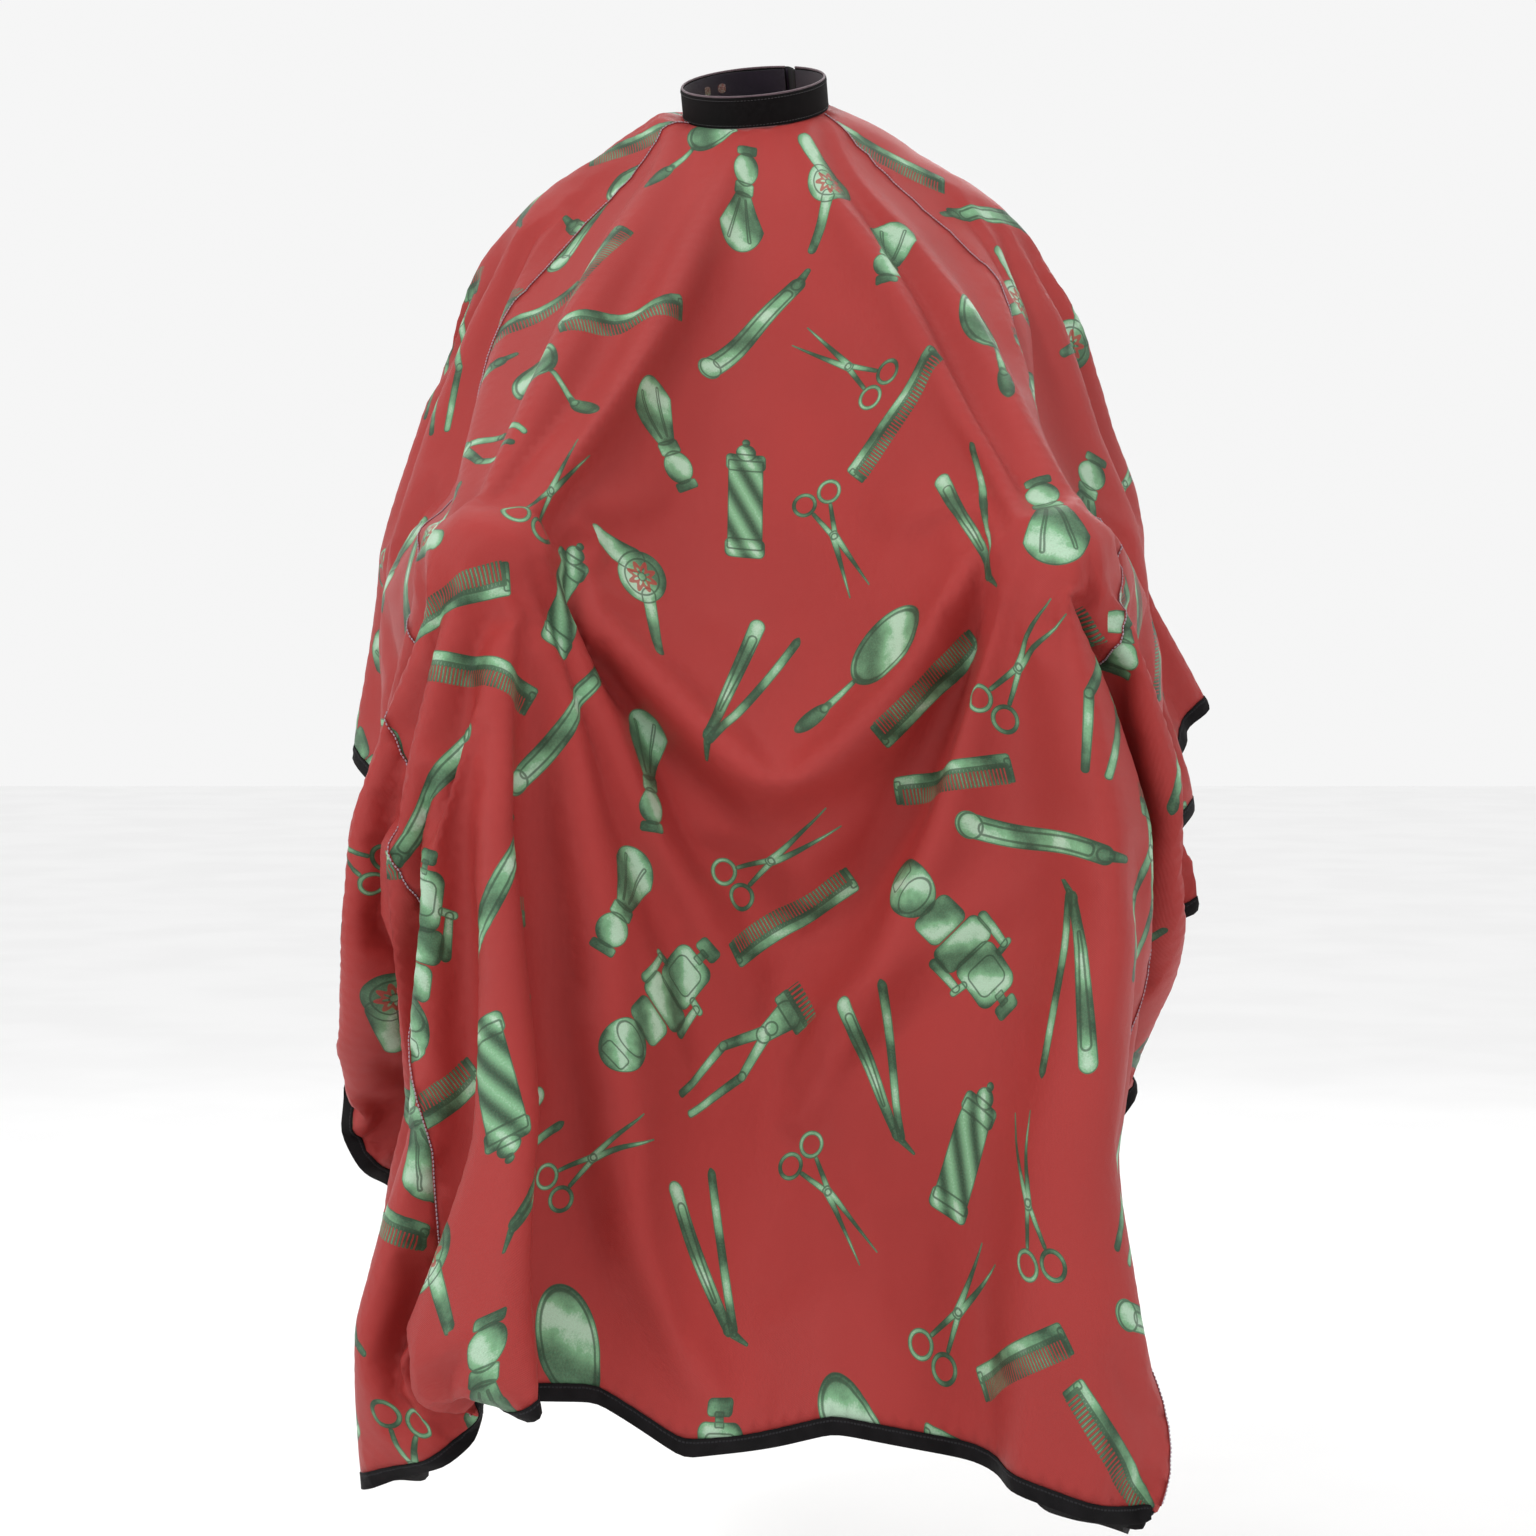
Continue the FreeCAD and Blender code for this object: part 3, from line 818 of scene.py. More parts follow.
def lay_print(mesh, layout):
    """Gives each corner of a panel's faces its place on the motif nearest to that face, in millimetres."""
    places = read_vectors(mesh, "flat_place")[:, :2]
    starts = [polygon.vertices[:] for polygon in mesh.polygons]
    middles = np.array([places[list(corners)].mean(axis=0) for corners in starts])
    best = np.full(len(middles), np.inf)
    owner = np.zeros(len(middles), int)
    for number, row in enumerate(layout):
        a, b, width = motif_bar(row)
        run = np.array(b - a)
        share = np.clip((middles - np.array(a)) @ run / max(run @ run, 1e-9), 0, 1)
        away = np.linalg.norm(middles - np.array(a) - share[:, None] * run, axis=1) - width
        nearer = away < best
        best[nearer] = away[nearer]
        owner[nearer] = number
    kinds = list(MOTIFS)
    turns = np.radians([row[3] for row in layout])
    centres = np.array([row[1:3] for row in layout])
    sizes = np.array([row[4] * MOTIFS[row[0]][4] for row in layout])
    numbers = np.array([kinds.index(row[0]) + 1.0 for row in layout])
    faces = np.repeat(owner, [len(corners) for corners in starts])
    corners = np.concatenate([list(corners) for corners in starts])
    off = (places[corners] - centres[faces]) * 1000 / sizes[faces, None]
    cos, sin = np.cos(turns[faces]), np.sin(turns[faces])
    x = cos * off[:, 0] + sin * off[:, 1]
    y = cos * off[:, 1] - sin * off[:, 0]
    spot = mesh.attributes.new("print_place", "FLOAT_VECTOR", "CORNER")
    spot.data.foreach_set("vector", np.column_stack([x, y, numbers[faces]]).ravel())


def flat_maps(mesh):
    """The cloth's own map in metres, and a bake map with the face at full size and the reverse smaller beside it."""
    places = read_vectors(mesh, "flat_place")[:, :2]
    low = places.min(axis=0)
    span = (places.max(axis=0) - low).max() * 1.01
    width = (places.max(axis=0) - low)[0] / span
    corners = np.zeros(len(mesh.loops), int)
    mesh.loops.foreach_get("vertex_index", corners)
    cloth_map = mesh.uv_layers.new(name="cloth")
    cloth_map.data.foreach_set("uv", places[corners].ravel())
    inner = np.zeros(len(mesh.loops), bool)
    for polygon in mesh.polygons:
        if polygon.material_index:
            inner[polygon.loop_start : polygon.loop_start + polygon.loop_total] = True
    spot = (places[corners] - low) / span + 0.003
    share = min(0.5, (0.985 - width) / width)
    spot[inner] = (places[corners][inner] - low) / span * share + (width + 0.01, 0.003)
    bake_map = mesh.uv_layers.new(name="OFBake")
    bake_map.data.foreach_set("uv", spot.ravel())


# Finishes


def finish(name, roughness, colour=(0.5, 0.5, 0.5), metallic=0.0, sheen=0.0, sheen_roughness=0.5, coat=0.0):
    """A material with its even values on the shader's own sockets, and a draft for the rest."""
    material = bpy.data.materials.new(name)
    material.use_nodes = True
    g = Draft(material.node_tree)
    shader = material.node_tree.nodes["Principled BSDF"]
    shader.inputs["Roughness"].default_value = roughness
    shader.inputs["Metallic"].default_value = metallic
    shader.inputs["Sheen Weight"].default_value = sheen
    shader.inputs["Sheen Roughness"].default_value = sheen_roughness
    shader.inputs["Coat Weight"].default_value = coat
    shader.inputs["Base Color"].default_value = (*colour, 1)
    return material, g, shader


def relief(g, shader, height, distance, strength=1.0):
    bump = g.add("ShaderNodeBump")
    bump.inputs["Strength"].default_value = strength
    bump.inputs["Distance"].default_value = distance
    g.feed(bump.inputs["Height"], height)
    g.feed(shader.inputs["Normal"], bump.outputs[0])


def map_place(g, name):
    return g.add("ShaderNodeUVMap", uv_map=name).outputs[0]


def object_place(g):
    return g.add("ShaderNodeTexCoord").outputs["Object"]


def threads(g, place, pitch, slant=1.0):
    """Height of a fine twill: two sets of threads that cross on a slant."""
    x, y, _ = g.parts(place)
    rate = 2 * math.pi / pitch
    warp = g.math("SINE", g.math("MULTIPLY", g.math("ADD", x, g.math("MULTIPLY", y, slant)), rate))
    weft = g.math("SINE", g.math("MULTIPLY", g.math("SUBTRACT", g.math("MULTIPLY", x, slant), y), rate))
    return g.math("MULTIPLY_ADD", weft, 0.5, warp)


def mixed(first, second, share):
    return tuple(a + (b - a) * share for a, b in zip(first, second))


def satin(colours):
    """Printed polyester satin: a red ground with worn unevenness, and metallic green tools."""
    material, g, shader = finish("printed_satin", 0.5, sheen=0.02, sheen_roughness=0.35)
    shader.inputs["Specular IOR Level"].default_value = 0.32
    place = map_place(g, "cloth")
    tools = g.add("ShaderNodeGroup")
    tools.node_tree = bpy.data.node_groups.get("tool_print") or tool_print()
    g.feed(tools.inputs[0], g.attribute("print_place"))
    cover, line, tone, flower = (tools.outputs[i] for i in range(4))
    ramp = g.add("ShaderNodeValToRGB")
    light, dark = tuple(colours.tool_light), tuple(colours.tool_dark)
    stops = ((0.0, dark), (0.28, mixed(dark, light, 0.35)), (0.56, mixed(dark, light, 0.75)), (0.74, light))
    stops += ((0.95, mixed(light, (0.75, 0.92, 0.78), 0.45)),)
    for i, (spot, shade) in enumerate(stops):
        step = ramp.color_ramp.elements[i] if i < 2 else ramp.color_ramp.elements.new(spot)
        step.position = spot
        step.color = (*shade, 1)
    g.feed(ramp.inputs[0], tone)
    drawn = g.mix(g.math("MULTIPLY", line, 0.72), ramp.outputs[0], (*mixed(dark, (0, 0, 0), 0.25), 1))
    cloudy = g.fade(g.noise(place, 5.0, 3.0), 0.3, 0.7)
    ground = tuple(colours.ground)
    red = g.mix(cloudy, (*mixed(ground, (0, 0, 0), 0.09), 1), (*ground, 1))
    drawn = g.mix(g.math("MULTIPLY", flower, 0.8), drawn, (*ground, 1))
    colour = g.mix(cover, red, drawn)
    grain = g.noise(place, 900.0, 2.0, 0.7)
    colour = g.mix(g.fade(grain, 0.35, 0.65, 0.0, 0.10), colour, (*mixed(ground, (0, 0, 0), 0.5), 1))
    g.feed(shader.inputs["Base Color"], colour)
    rough = g.math("MULTIPLY_ADD", g.noise(place, 14.0, 3.0), 0.14, 0.42)
    g.feed(shader.inputs["Roughness"], g.math("MULTIPLY_ADD", cover, -0.05, rough))
    weave = threads(g, place, 0.0011)
    creases = g.noise(place, 26.0, 3.0, 0.55)
    relief(g, shader, g.math("MULTIPLY_ADD", creases, 14.0, weave), 0.00009)
    return material


def reverse(colours):
    """The unprinted back of the satin, with the print just showing through."""
    material, g, shader = finish("cloth_reverse", 0.75, sheen=0.08)
    place = map_place(g, "cloth")
    tools = g.add("ShaderNodeGroup")
    tools.node_tree = bpy.data.node_groups.get("tool_print") or tool_print()
    g.feed(tools.inputs[0], g.attribute("print_place"))
    pale = tuple(colours.reverse)
    blush = g.mix(g.fade(g.noise(place, 7.0, 2.0), 0.3, 0.7), (*mixed(pale, tuple(colours.ground), 0.10), 1), (*pale, 1))
    colour = g.mix(g.math("MULTIPLY", tools.outputs[0], 0.35), blush, (*mixed(pale, tuple(colours.tool_light), 0.5), 1))
    g.feed(shader.inputs["Base Color"], colour)
    relief(g, shader, threads(g, place, 0.0012), 0.00008)
    return material


def tape(colours):
    """Black ribbed bias tape with a row of stitches near its inner edge."""
    material, g, shader = finish("black_tape", 0.7, sheen=0.01, sheen_roughness=0.5)
    shader.inputs["Specular IOR Level"].default_value = 0.15
    place = map_place(g, "tape")
    along, across, _ = g.parts(place)
    ribs = g.math("SINE", g.math("MULTIPLY", along, 2 * math.pi / 0.0009))
    row = g.fade(g.math("ABSOLUTE", g.math("SUBTRACT", across, 0.0072)), 0.00025, 0.0006, 1.0, 0.0)
    gaps = g.fade(g.math("ABSOLUTE", g.math("SUBTRACT", g.math("FRACT", g.math("MULTIPLY", along, 330.0)), 0.5)), 0.3, 0.42, 1.0, 0.0)
    stitch = g.math("MULTIPLY", row, gaps)
    black = tuple(colours.tape)
    dusty = g.fade(g.noise(place, 60.0, 3.0), 0.35, 0.7)
    worn = g.mix(dusty, (*black, 1), (*mixed(black, (0.03, 0.027, 0.03), 0.2), 1))
    g.feed(shader.inputs["Base Color"], g.mix(stitch, worn, (*mixed(black, (0.05, 0.05, 0.055), 0.4), 1)))
    g.feed(shader.inputs["Roughness"], g.math("MULTIPLY_ADD", dusty, 0.12, 0.7))
    relief(g, shader, g.math("MULTIPLY_ADD", stitch, -3.0, ribs), 0.00012)
    return material


def woven(name, colour, roughness, pitch, sheen=0.2):
    """Plain close-woven cloth of one colour, a little uneven."""
    material, g, shader = finish(name, roughness, sheen=sheen, sheen_roughness=0.45)
    shader.inputs["Specular IOR Level"].default_value = 0.12
    place = object_place(g)
    x, y, z = g.parts(place)
    round_neck = g.math("MULTIPLY", g.math("ARCTAN2", y, x), NECK_RADIUS)
    weave = threads(g, g.joined(round_neck, z), pitch)
    fuzz = g.fade(g.noise(place, 240.0, 3.0, 0.6), 0.3, 0.7)
    g.feed(shader.inputs["Base Color"], g.mix(fuzz, (*mixed(colour, (0, 0, 0), 0.3), 1), (*mixed(colour, (1, 1, 1), 0.004), 1)))
    g.feed(shader.inputs["Roughness"], g.math("MULTIPLY_ADD", fuzz, 0.12, roughness - 0.06))
    relief(g, shader, weave, 0.00012)
    return material


def thread(name, colour):
    """Twisted sewing thread, with painted shade in the grooves between its plies."""
    material, g, shader = finish(name, 0.5, sheen=0.3)
    x, y, z = g.parts(object_place(g))
    ply = g.math("SINE", g.math("MULTIPLY", g.math("ADD", x, g.math("ADD", y, z)), 2 * math.pi / 0.0005))
    # Painted shade: the thread's colour darkens in the grooves of the twist, on the same wave that raises the plies
    shade = g.fade(ply, -1.0, 1.0)
    g.feed(shader.inputs["Base Color"], g.mix(shade, (*mixed(colour, (0, 0, 0), 0.35), 1), (*colour, 1)))
    relief(g, shader, ply, 0.0001)
    return material


def hard(name, colour, roughness, metallic, coat=0.0):
    """Plated metal or lacquer with fine scuffs."""
    material, g, shader = finish(name, roughness, metallic=metallic, coat=coat)
    place = object_place(g)
    scuffs = g.fade(g.noise(place, 900.0, 4.0, 0.65), 0.45, 0.75)
    clouds = g.fade(g.noise(place, 150.0, 2.0), 0.3, 0.7)
    g.feed(shader.inputs["Base Color"], g.mix(clouds, (*mixed(colour, (0, 0, 0), 0.18), 1), (*colour, 1)))
    g.feed(shader.inputs["Roughness"], g.math("MULTIPLY_ADD", scuffs, 0.18, roughness))
    relief(g, shader, scuffs, 0.00003)
    return material


def dress(piece, material, body="cape"):
    """Gives a finished piece its material and the body it rides on."""
    if material.name not in piece.data.materials:
        piece.data.materials.append(material)
    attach(piece, body)
    return piece


# Neckband pieces. They are shaped upright round the neck's axis, then tilted into place.


def seated(bm, name):
    """Ends the shaping of a neckband piece: tidies it, tilts it and makes it an object."""
    bmesh.ops.remove_doubles(bm, verts=bm.verts, dist=1e-6)
    bmesh.ops.recalc_face_normals(bm, faces=bm.faces)
    bmesh.ops.transform(bm, matrix=TILT, verts=bm.verts)
    mesh = bpy.data.meshes.new(name)
    bm.to_mesh(mesh)
    bm.free()
    for polygon in mesh.polygons:
        polygon.use_smooth = True
    mesh.set_sharp_from_angle(angle=math.radians(50))
    piece = bpy.data.objects.new(name, mesh)
    bpy.context.scene.collection.objects.link(piece)
    return piece


def section(bm, inner, outer, low, high, edge, angle):
    """A rounded upright rectangle at one angle round the neck, as a single face."""
    middle = Vector(((inner + outer) / 2, 0, (low + high) / 2))
    size = Matrix.Diagonal((outer - inner, high - low, 1, 1))
    place = Matrix.Rotation(math.radians(angle), 4, "Z") @ Matrix.Translation(middle)
    place = place @ Matrix.Rotation(math.radians(90), 4, "X") @ size
    bmesh.ops.create_grid(bm, x_segments=1, y_segments=1, size=0.5, matrix=place)
    bmesh.ops.bevel(bm, geom=bm.verts[:], offset=edge, segments=3, profile=0.5, affect="VERTICES", material=-1)


def wall(name, inner, outer, low, high, first, last, edge, wave=0.0):
    """A curved wall round the neck with rounded edges and closed ends, its height a little wavy."""
    bm = bmesh.new()
    section(bm, inner, outer, low, high, edge, first)
    start = bm.faces[:]
    steps = max(8, round((last - first) / 2.5))
    bmesh.ops.spin(
        bm,
        geom=bm.verts[:] + bm.edges[:] + start,
        cent=(0, 0, 0),
        axis=(0, 0, 1),
        angle=math.radians(last - first),
        steps=steps,
        use_duplicate=False,
    )
    rims = [e for e in bm.edges if e.is_boundary]
    if rims:
        bmesh.ops.holes_fill(bm, edges=rims, sides=0)
    for vert in bm.verts:
        turn = math.atan2(vert.co.y, vert.co.x)
        ease = wave * (math.sin(3 * turn + 0.6) + 0.6 * math.sin(7 * turn))
        vert.co.z += ease
        vert.co.x += 0.5 * ease * math.cos(turn)
        vert.co.y += 0.5 * ease * math.sin(turn)
    return seated(bm, name)


def tab_radius(angle, depth):
    """The tab lies on the band at its root and steps out over the studs."""
    share = min(max((angle - TAB_ROOT - 1) / TAB_STEP, 0), 1)
    return NECK_RADIUS + depth + (BAND_WALL + OVERLAP) * share * share * (3 - 2 * share)


def tab_wall(name, inner, outer, first, last, margin, round_end):
    """A layer of the tab between two depths from the neckband's inner face, its free end rounded."""
    bm = bmesh.new()
    steps = max(4, round((last - first) / 1.2))
    bmesh.ops.create_grid(bm, x_segments=steps, y_segments=8, size=0.5)
    half = BAND_HEIGHT / 2 - margin
    tip = 0.009
    for vert in bm.verts:
        angle = first + (last - first) * (vert.co.x + 0.5)
        from_end = math.radians(last - angle) * NECK_RADIUS
        room = half
        if round_end and from_end < tip:
            room = half - tip + math.sqrt(max(tip**2 - (tip - from_end) ** 2, 0))
        radius = tab_radius(angle, (inner + outer) / 2)
        turn = math.radians(angle)
        vert.co = (radius * math.cos(turn), radius * math.sin(turn), vert.co.y * 2 * room)
    bmesh.ops.recalc_face_normals(bm, faces=bm.faces)
    bmesh.ops.solidify(bm, geom=bm.faces[:], thickness=outer - inner)
    shift = Vector()
    edges = [e for e in bm.edges if len(e.link_faces) == 2 and e.calc_face_angle() > 1.0]
    offset = (outer - inner) * 0.3
    bmesh.ops.bevel(bm, geom=edges, offset=offset, segments=2, profile=0.5, affect="EDGES", material=-1)
    return seated(bm, name)


def stitches(name, spots, length, thickness):
    """A row of stitches: one small grain of thread at each spot, lying along the row."""
    bm = bmesh.new()
    for spot, along in spots:
        turn = along.to_track_quat("X", "Z").to_matrix().to_4x4()
        grain = Matrix.Translation(spot) @ turn @ Matrix.Diagonal((length / 2, thickness / 2, thickness / 2, 1))
        bmesh.ops.create_icosphere(bm, subdivisions=1, radius=1, matrix=grain)
    mesh = bpy.data.meshes.new(name)
    bm.to_mesh(mesh)
    bm.free()
    for polygon in mesh.polygons:
        polygon.use_smooth = True
    piece = bpy.data.objects.new(name, mesh)
    bpy.context.scene.collection.objects.link(piece)
    return piece


def rope(name, points, radius):
    """A thin round piece along a smooth line."""
    curve = bpy.data.curves.new(name, "CURVE")
    curve.dimensions = "3D"
    curve.bevel_depth = radius
    curve.bevel_resolution = 2
    curve.use_fill_caps = True
    line = curve.splines.new("POLY")
    line.points.add(len(points) - 1)
    for point, place in zip(line.points, points):
        point.co = (*place, 1)
    piece = bpy.data.objects.new(name, curve)
    bpy.context.scene.collection.objects.link(piece)
    graph = bpy.context.evaluated_depsgraph_get()
    mesh = bpy.data.meshes.new_from_object(piece.evaluated_get(graph))
    bpy.data.objects.remove(piece)
    piece = bpy.data.objects.new(name, mesh)
    bpy.context.scene.collection.objects.link(piece)
    for polygon in mesh.polygons:
        polygon.use_smooth = True
    return piece


def seam_path(mesh, side, sizes):
    """The points of one long seam on the settled cloth, with the cloth's outward direction at each."""
    places = read_vectors(mesh, "flat_place")[:, :2]
    line = seam_line(sizes, side)
    tree = KDTree(len(places))
    for i, place in enumerate(places):
        tree.insert((*place, 0), i)
    tree.balance()
    halves = [line[0]]
    for a, b in zip(line, line[1:]):
        halves += [(a + b) / 2, b]
    found = []
    for spot in halves:
        if spot.y > sizes.binding - sizes.front:
            _, i, away = tree.find((*spot, 0))
            if away < 1e-4:
                found.append((mesh.vertices[i].co.copy(), mesh.vertices[i].normal.copy()))
    return found


def along_path(path, pitch, height):
    """Spots an even distance apart on a path, lifted off it, with the path's direction."""
    spots = []
    carry = 0.0
    for (start, up), (end, _) in zip(path, path[1:]):
        run = end - start
        length = run.length
        while carry < length:
            spots.append((start + run * (carry / length) + up * height, run.normalized()))
            carry += pitch
        carry -= length
    return spots


# Settings that a user would change


def length_setting(name, description, default):
    return bpy.props.FloatProperty(name=name, description=description, default=default, unit="LENGTH", precision=4)


def colour_setting(name, description, default):
    return bpy.props.FloatVectorProperty(name=name, description=description, default=default, subtype="COLOR", min=0, max=1)


class CapeSizes(bpy.types.PropertyGroup):
    width: length_setting("Width", "Width of the flat sheet", 1.45)
    front: length_setting("Front", "From the middle of the neckline to the front hem", 1.20)
    back: length_setting("Back", "From the middle of the neckline to the back hem", 0.34)
    corner: length_setting("Corner", "Radius of the sheet's corners", 0.020)
    neckline: length_setting("Neckline", "Radius of the neck hole as cut", 0.075)
    seat: length_setting("Seat", "Radius at which the neckline is sewn into the band", NECK_RADIUS + 0.0020)
    slit: length_setting("Slit", "Half the gap between the two edges of the back opening", 0.004)
    cell: length_setting("Cell", "Spacing of the draped mesh", 0.014)
    binding: length_setting("Binding width", "Width of the folded black tape", 0.009)
    binding_thickness: length_setting("Binding thickness", "Thickness over both folds of the tape", 0.0024)
    cloth: length_setting("Cloth", "Thickness of the satin as shown", 0.0008)
    welt: length_setting("Welt", "Radius of the raised edge along a seam", 0.0009)


class CapeColours(bpy.types.PropertyGroup):
    ground: colour_setting("Ground", "Red ground of the print", (0.40, 0.034, 0.030))
    tool_light: colour_setting("Tool light", "Light green of the printed tools", (0.21, 0.46, 0.25))
    tool_dark: colour_setting("Tool dark", "Dark green of the printed tools", (0.022, 0.075, 0.038))
    reverse: colour_setting("Reverse", "Unprinted back of the cloth", (0.72, 0.62, 0.52))
    tape: colour_setting("Tape", "Black of the bindings", (0.003, 0.0025, 0.003))
    band: colour_setting("Band", "Black of the neckband", (0.0025, 0.002, 0.0023))
    lining: colour_setting("Lining", "Purple-black inside of the neckband", (0.014, 0.006, 0.018))
    seam_thread: colour_setting("Seam thread", "Pale lilac thread of the long seams", (0.55, 0.40, 0.48))
    piping: colour_setting("Piping", "Pink-grey cord on the band's top edge", (0.16, 0.10, 0.12))
    plating: colour_setting("Plating", "Nickel of the snaps", (0.62, 0.60, 0.57))


class CapePart(bpy.types.Operator):
    """Shared settings for the operators that make the cape's pieces"""

    bl_options = {"REGISTER"}

    @property
    def sizes(self):
        """The sizes to a hundredth of a millimetre, so that the cloth is cut the same each time"""
        settings = bpy.context.scene.cape_sizes
        sizes = {name: round(getattr(settings, name), 5) for name in CapeSizes.__annotations__}
        slit_turn = math.degrees(math.asin(sizes["slit"] / sizes["neckline"]))
        return SimpleNamespace(slit_turn=slit_turn, **sizes)

    @property
    def colours(self):
        return bpy.context.scene.cape_colours


class CAPE_OT_drape(CapePart):
    """Cut the sheet flat and let it fall over a seated wearer"""

    bl_idname = "cape.drape"
    bl_label = "Drape the cloth"

    def execute(self, context):
        whole_cloth(self.sizes)
        return {"FINISHED"}


class CAPE_OT_bindings(CapePart):
    """Fold black tape over every cut edge"""

    bl_idname = "cape.bindings"
    bl_label = "Edge bindings"

    def execute(self, context):
        black = tape(self.colours)
        for zone in list(ZONES)[3:]:
            piece = cut_piece(f"{zone}_tape", zone)
            places = read_vectors(piece.data, "flat_place")[:, :2]
            x, y = places.T
            sizes = self.sizes
            away = np.array([sizes.width / 2 - abs(x), sizes.back - y, y + sizes.front])
            along = np.where(away.argmin(axis=0) == 0, y, x)
            if "opening" in zone:
                away = np.array([abs(x) - sizes.slit])
                along = y
            corners = np.zeros(len(piece.data.loops), int)
            piece.data.loops.foreach_get("vertex_index", corners)
            tape_map = piece.data.uv_layers.new(name="tape")
            tape_map.data.foreach_set("uv", np.column_stack([along, away.min(axis=0)])[corners].ravel())
            piece.data.attributes.remove(piece.data.attributes["flat_place"])
            fold = piece.modifiers.new("fold", "SOLIDIFY")
            fold.thickness = sizes.binding_thickness
            fold.offset = 0
            soften = piece.modifiers.new("soften", "BEVEL")
            soften.width = 0.0006
            soften.segments = 2
            soften.limit_method = "ANGLE"
            soften.angle_limit = math.radians(50)
            keep_result(piece).data.name = piece.name
            dress(piece, black)
            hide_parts(zone)
        return {"FINISHED"}


class CAPE_OT_seams(CapePart):
    """Raise a welt along each long seam and stitch it"""

    bl_idname = "cape.seams"
    bl_label = "Long seams"

    def execute(self, context):
        mesh = bpy.data.objects[DRAPE].data
        red = woven("seam_welt", mixed(tuple(self.colours.ground), (0, 0, 0), 0.35), 0.6, 0.0008)
        pale = thread("seam_thread", tuple(self.colours.seam_thread))
        for side, word in ((1, "left"), (-1, "right")):
            path = seam_path(mesh, side, self.sizes)
            if len(path) < 20:
                raise RuntimeError(f"the {word} seam was not found on the cloth")
            welt = rope(f"{word}_seam_welt", [place + up * 0.0003 for place, up in path], self.sizes.welt)
            dress(welt, red)
            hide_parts(f"{word}_seam")
            spots = along_path(path, 0.0032, self.sizes.welt + 0.0004)
            row = stitches(f"{word}_seam_stitches", spots, 0.0031, 0.0015)
            dress(row, pale)
        return {"FINISHED"}


class CAPE_OT_panels(CapePart):
    """Give the three printed panels their print, thickness and reverse"""

    bl_idname = "cape.panels"
    bl_label = "Printed panels"

    def execute(self, context):
        sizes = self.sizes
        face, back = satin(self.colours), reverse(self.colours)
        for zone in list(ZONES)[:3]:
            piece = cut_piece(f"{zone}_cloth", zone)
            lay_print(piece.data, print_layout(sizes, zone))
            area = flat_area(piece.data)
            spread = np.ptp(read_vectors(piece.data, "flat_place")[:, :2], axis=0)
            piece.data.materials.append(face)
            piece.data.materials.append(back)
            body = piece.modifiers.new("body", "SOLIDIFY")
            body.thickness = sizes.cloth
            body.offset = 0
            body.material_offset = 1
            keep_result(piece).data.name = piece.name
            flat_maps(piece.data)
            dress(piece, face)
            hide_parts(zone)
        drape = bpy.data.objects[DRAPE]
        mesh = drape.data
        bpy.data.objects.remove(drape)
        bpy.data.meshes.remove(mesh)
        return {"FINISHED"}


class CAPE_OT_neckband(CapePart):
    """Make the neckband's cover, lining, top piping and two rows of stitches"""

    bl_idname = "cape.neckband"
    bl_label = "Neckband"

    def execute(self, context):
        colours = self.colours
        half = BAND_HEIGHT / 2
        first, last = UNDERLAP_END, TAB_ROOT + 360
        cover = wall("neckband_cover_cloth", NECK_RADIUS + 0.0008, NECK_RADIUS + BAND_WALL, -half, half, first, last, 0.0009, 0.0003)
        dress(cover, woven("band_cloth", tuple(colours.band), 0.82, 0.0010, 0.02))
        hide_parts("neckband_cover", "neckband_stiffener")
        lining = wall("neckband_lining_cloth", NECK_RADIUS, NECK_RADIUS + 0.0008, 0.0012 - half, half - 0.0012, first, last, 0.0003, 0.0003)
        dress(lining, woven("band_lining", tuple(colours.lining), 0.6, 0.0008, 0.3))
        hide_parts("neckband_lining")
        turns = [math.radians(first + (last - first) * i / 150) for i in range(151)]
        middle = NECK_RADIUS + BAND_WALL / 2
        ring = [on_neck(middle * math.cos(t), middle * math.sin(t), half + 0.0007) for t in turns]
        piping = rope("neckband_top_piping", ring, 0.0010)
        dress(piping, woven("piping_cord", tuple(colours.piping), 0.5, 0.0007, 0.3))
        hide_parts("neckband_piping")
        row_thread = thread("band_thread", (0.012, 0.011, 0.013))
        outside = NECK_RADIUS + BAND_WALL + 0.0001
        for word, height in (("upper", half - 0.0025), ("lower", 0.0025 - half)):
            path = [(on_neck(outside * math.cos(t), outside * math.sin(t), height), Vector()) for t in turns]
            row = stitches(f"neckband_{word}_stitches", along_path(path, 0.0030, 0), 0.0024, 0.0006)
            dress(row, row_thread)
            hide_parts(f"neckband_{word}_stitching")
        return {"FINISHED"}


class CAPE_OT_closure_tab(CapePart):
    """Make the tab that closes over the studs at the back, with a fold of cloth at its root"""

    bl_idname = "cape.closure_tab"
    bl_label = "Closure tab"

    def execute(self, context):
        cover = tab_wall("tab_cover_cloth", 0.0009, BAND_WALL, TAB_ROOT + 1.6, TAB_TIP, 0, True)
        dress(cover, bpy.data.materials["band_cloth"], "closure_tab")
        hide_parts("tab_cover", "tab_stiffener")
        lining = tab_wall("tab_lining_cloth", 0, 0.0008, TAB_ROOT + 1.6, TAB_TIP - 0.8, 0.0012, True)
        dress(lining, bpy.data.materials["band_lining"], "closure_tab")
        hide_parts("tab_lining")
        fold = tab_wall("tab_root_fold", 0.0005, BAND_WALL - 0.0003, TAB_ROOT - 0.6, TAB_ROOT + 2.2, 0.0008, False)
        fold.data.materials.append(bpy.data.materials["band_cloth"])
        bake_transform(fold)
        return {"FINISHED"}


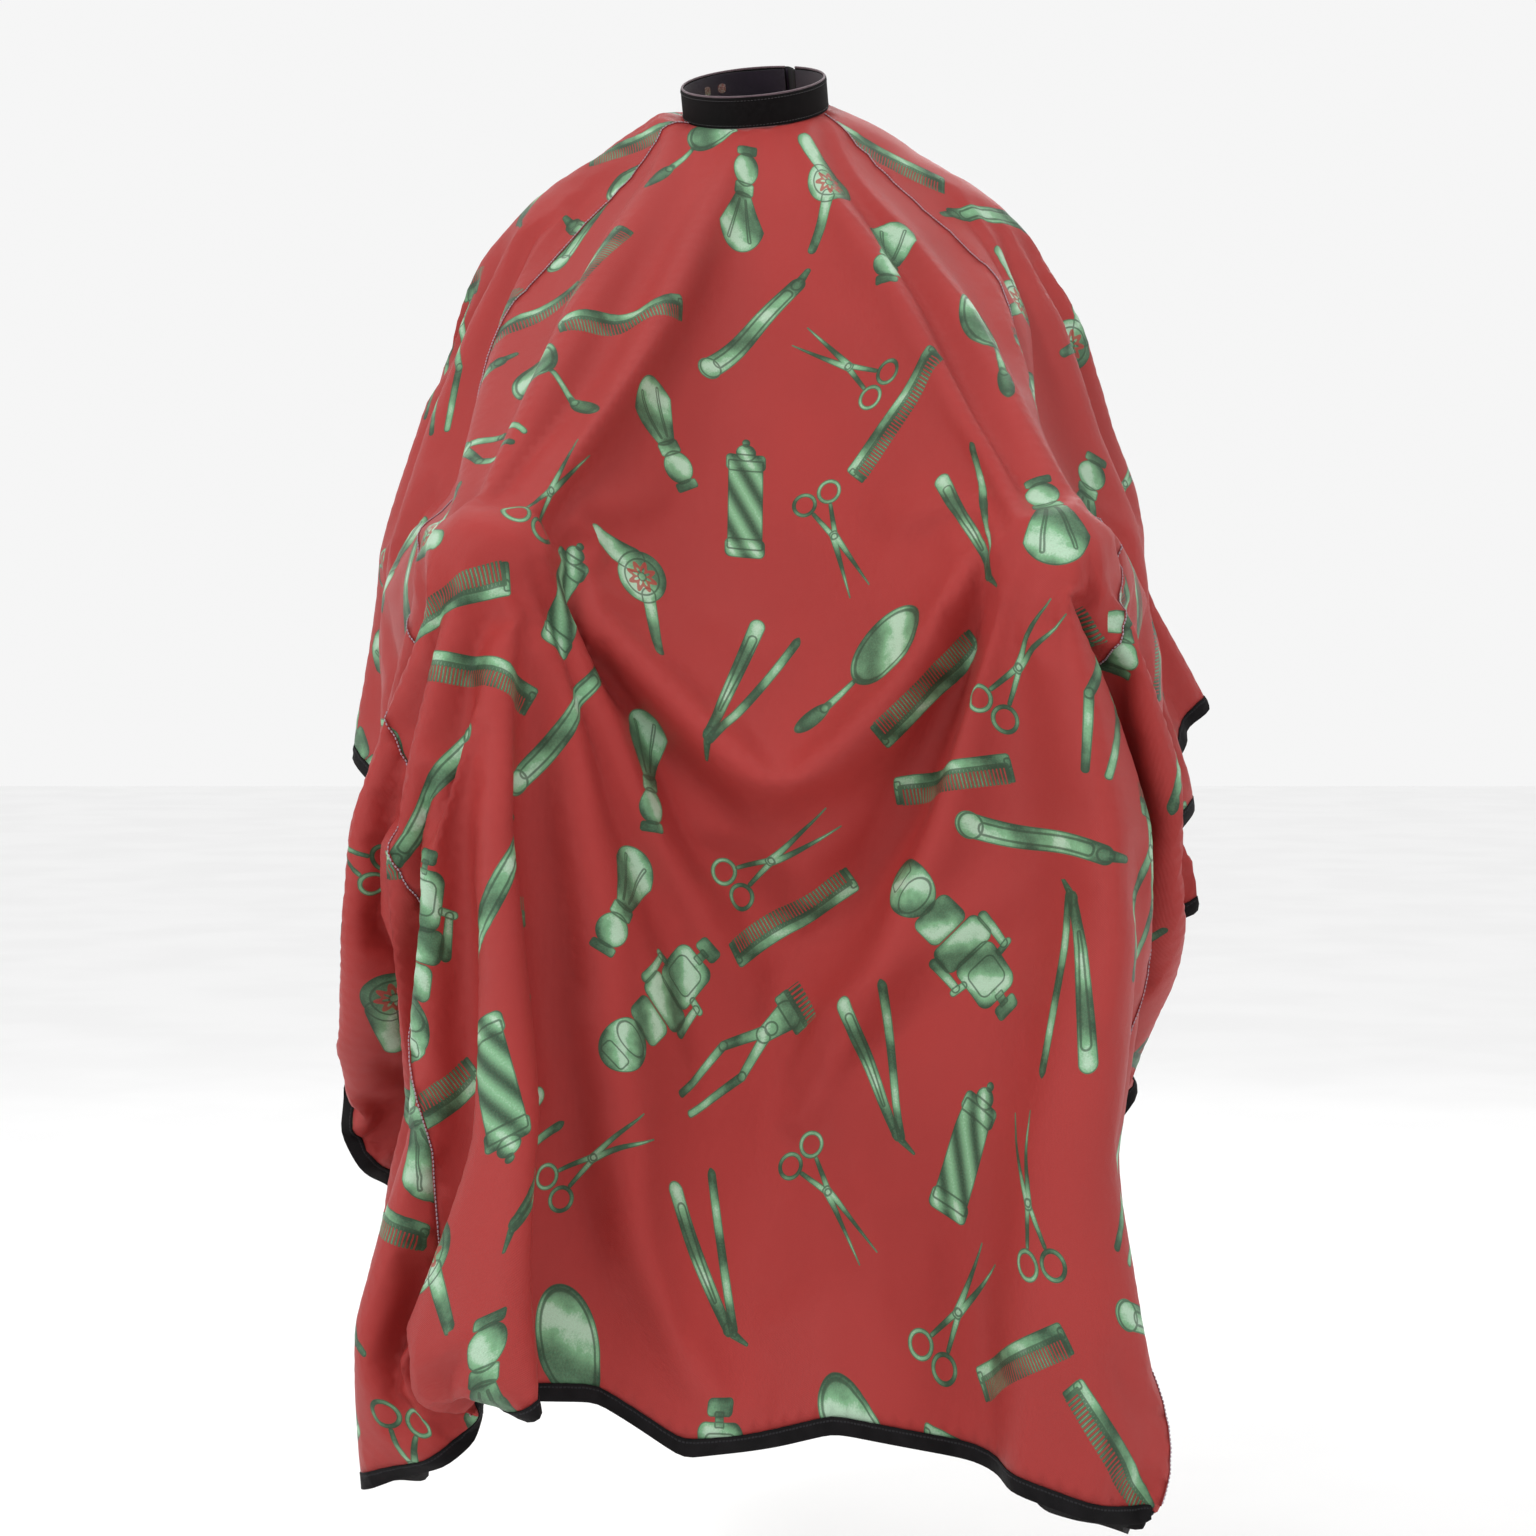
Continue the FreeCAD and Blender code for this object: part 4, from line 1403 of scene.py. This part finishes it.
class CAPE_OT_snaps(CapePart):
    """Plate the studs and sockets and lacquer the caps"""

    bl_idname = "cape.snaps"
    bl_label = "Snaps"

    def execute(self, context):
        nickel = hard("snap_nickel", tuple(self.colours.plating), 0.24, 1.0)
        lacquer = hard("snap_lacquer", (0.008, 0.008, 0.009), 0.22, 0.0, 0.6)
        for name, node in frame["nodes"].items():
            if name.startswith(("stud", "snap_socket", "snap_cap")):
                node.data.materials.clear()
                node.data.materials.append(lacquer if name.startswith("snap_cap") else nickel)
        return {"FINISHED"}


class CAPE_OT_stage(CapePart):
    """Set the floor, the soft lights and the camera"""

    bl_idname = "cape.stage"
    bl_label = "Studio"

    def execute(self, context):
        scene = bpy.context.scene
        bm = bmesh.new()
        bmesh.ops.create_grid(bm, x_segments=1, y_segments=1, size=14, matrix=Matrix.Translation((0, 0, -1.42)))
        mesh = bpy.data.meshes.new("studio_floor")
        bm.to_mesh(mesh)
        bm.free()
        floor = bpy.data.objects.new("studio_floor", mesh)
        scene.collection.objects.link(floor)
        material, g, shader = finish("studio_floor", 0.9)
        haze = g.fade(g.noise(object_place(g), 3.0, 2.0), 0.3, 0.7)
        g.feed(shader.inputs["Base Color"], g.mix(haze, (0.93, 0.93, 0.93, 1), (0.96, 0.96, 0.96, 1)))
        mesh.materials.append(material)
        world = bpy.data.worlds.new("studio")
        world.use_nodes = True
        world.node_tree.nodes["Background"].inputs[0].default_value = (1, 1, 1, 1)
        world.node_tree.nodes["Background"].inputs[1].default_value = 0.92
        scene.world = world
        for name, place, size, power in (
            ("key", (-1.5, -2.0, 2.5), 0.7, 56),
            ("fill", (2.6, -2.4, 0.6), 1.4, 5),
            ("back", (0.6, 2.6, 1.2), 1.6, 24),
        ):
            light = bpy.data.lights.new(name, "AREA")
            light.size = size
            light.energy = power
            lamp = bpy.data.objects.new(name, light)
            lamp.location = place
            lamp.rotation_euler = (Vector((0, -0.1, -0.55)) - Vector(place)).to_track_quat("-Z", "Y").to_euler()
            scene.collection.objects.link(lamp)
        distance = 3.2
        target = Vector((0.012, 0, -0.598))
        rise = math.radians(3)
        eye = bpy.data.cameras.new("front_view")
        eye.lens = eye.sensor_width * distance / 1.382
        camera = bpy.data.objects.new("front_view", eye)
        camera.location = target + distance * Vector((0, -math.cos(rise), math.sin(rise)))
        camera.rotation_euler = Euler((math.radians(90) - rise, 0, 0))
        scene.collection.objects.link(camera)
        scene.camera = camera
        scene.view_settings.view_transform = "Standard"
        return {"FINISHED"}


STEPS = (
    CAPE_OT_stage,
    CAPE_OT_drape,
    CAPE_OT_neckband,
    CAPE_OT_closure_tab,
    CAPE_OT_bindings,
    CAPE_OT_seams,
    CAPE_OT_panels,
    CAPE_OT_snaps,
)


class CAPE_PT_pieces(bpy.types.Panel):
    """Lists the steps that make the cape"""

    bl_label = "Barber cape"
    bl_space_type = "VIEW_3D"
    bl_region_type = "UI"
    bl_category = "Cape"

    def draw(self, context):
        for settings in (context.scene.cape_sizes, context.scene.cape_colours):
            for name in settings.__annotations__:
                self.layout.prop(settings, name)
        for step in STEPS:
            self.layout.operator(step.bl_idname)


CLASSES = (CapeSizes, CapeColours, *STEPS, CAPE_PT_pieces)


def register():
    for item in CLASSES:
        bpy.utils.register_class(item)
    bpy.types.Scene.cape_sizes = bpy.props.PointerProperty(type=CapeSizes)
    bpy.types.Scene.cape_colours = bpy.props.PointerProperty(type=CapeColours)


def unregister():
    del bpy.types.Scene.cape_colours
    del bpy.types.Scene.cape_sizes
    for item in reversed(CLASSES):
        bpy.utils.unregister_class(item)


def main():
    register()
    for step in STEPS:
        family, action = step.bl_idname.split(".")
        result = getattr(getattr(bpy.ops, family), action)()
        if "FINISHED" not in result:
            raise RuntimeError(f"{step.bl_label} did not finish")


if __name__ == "__main__":
    main()
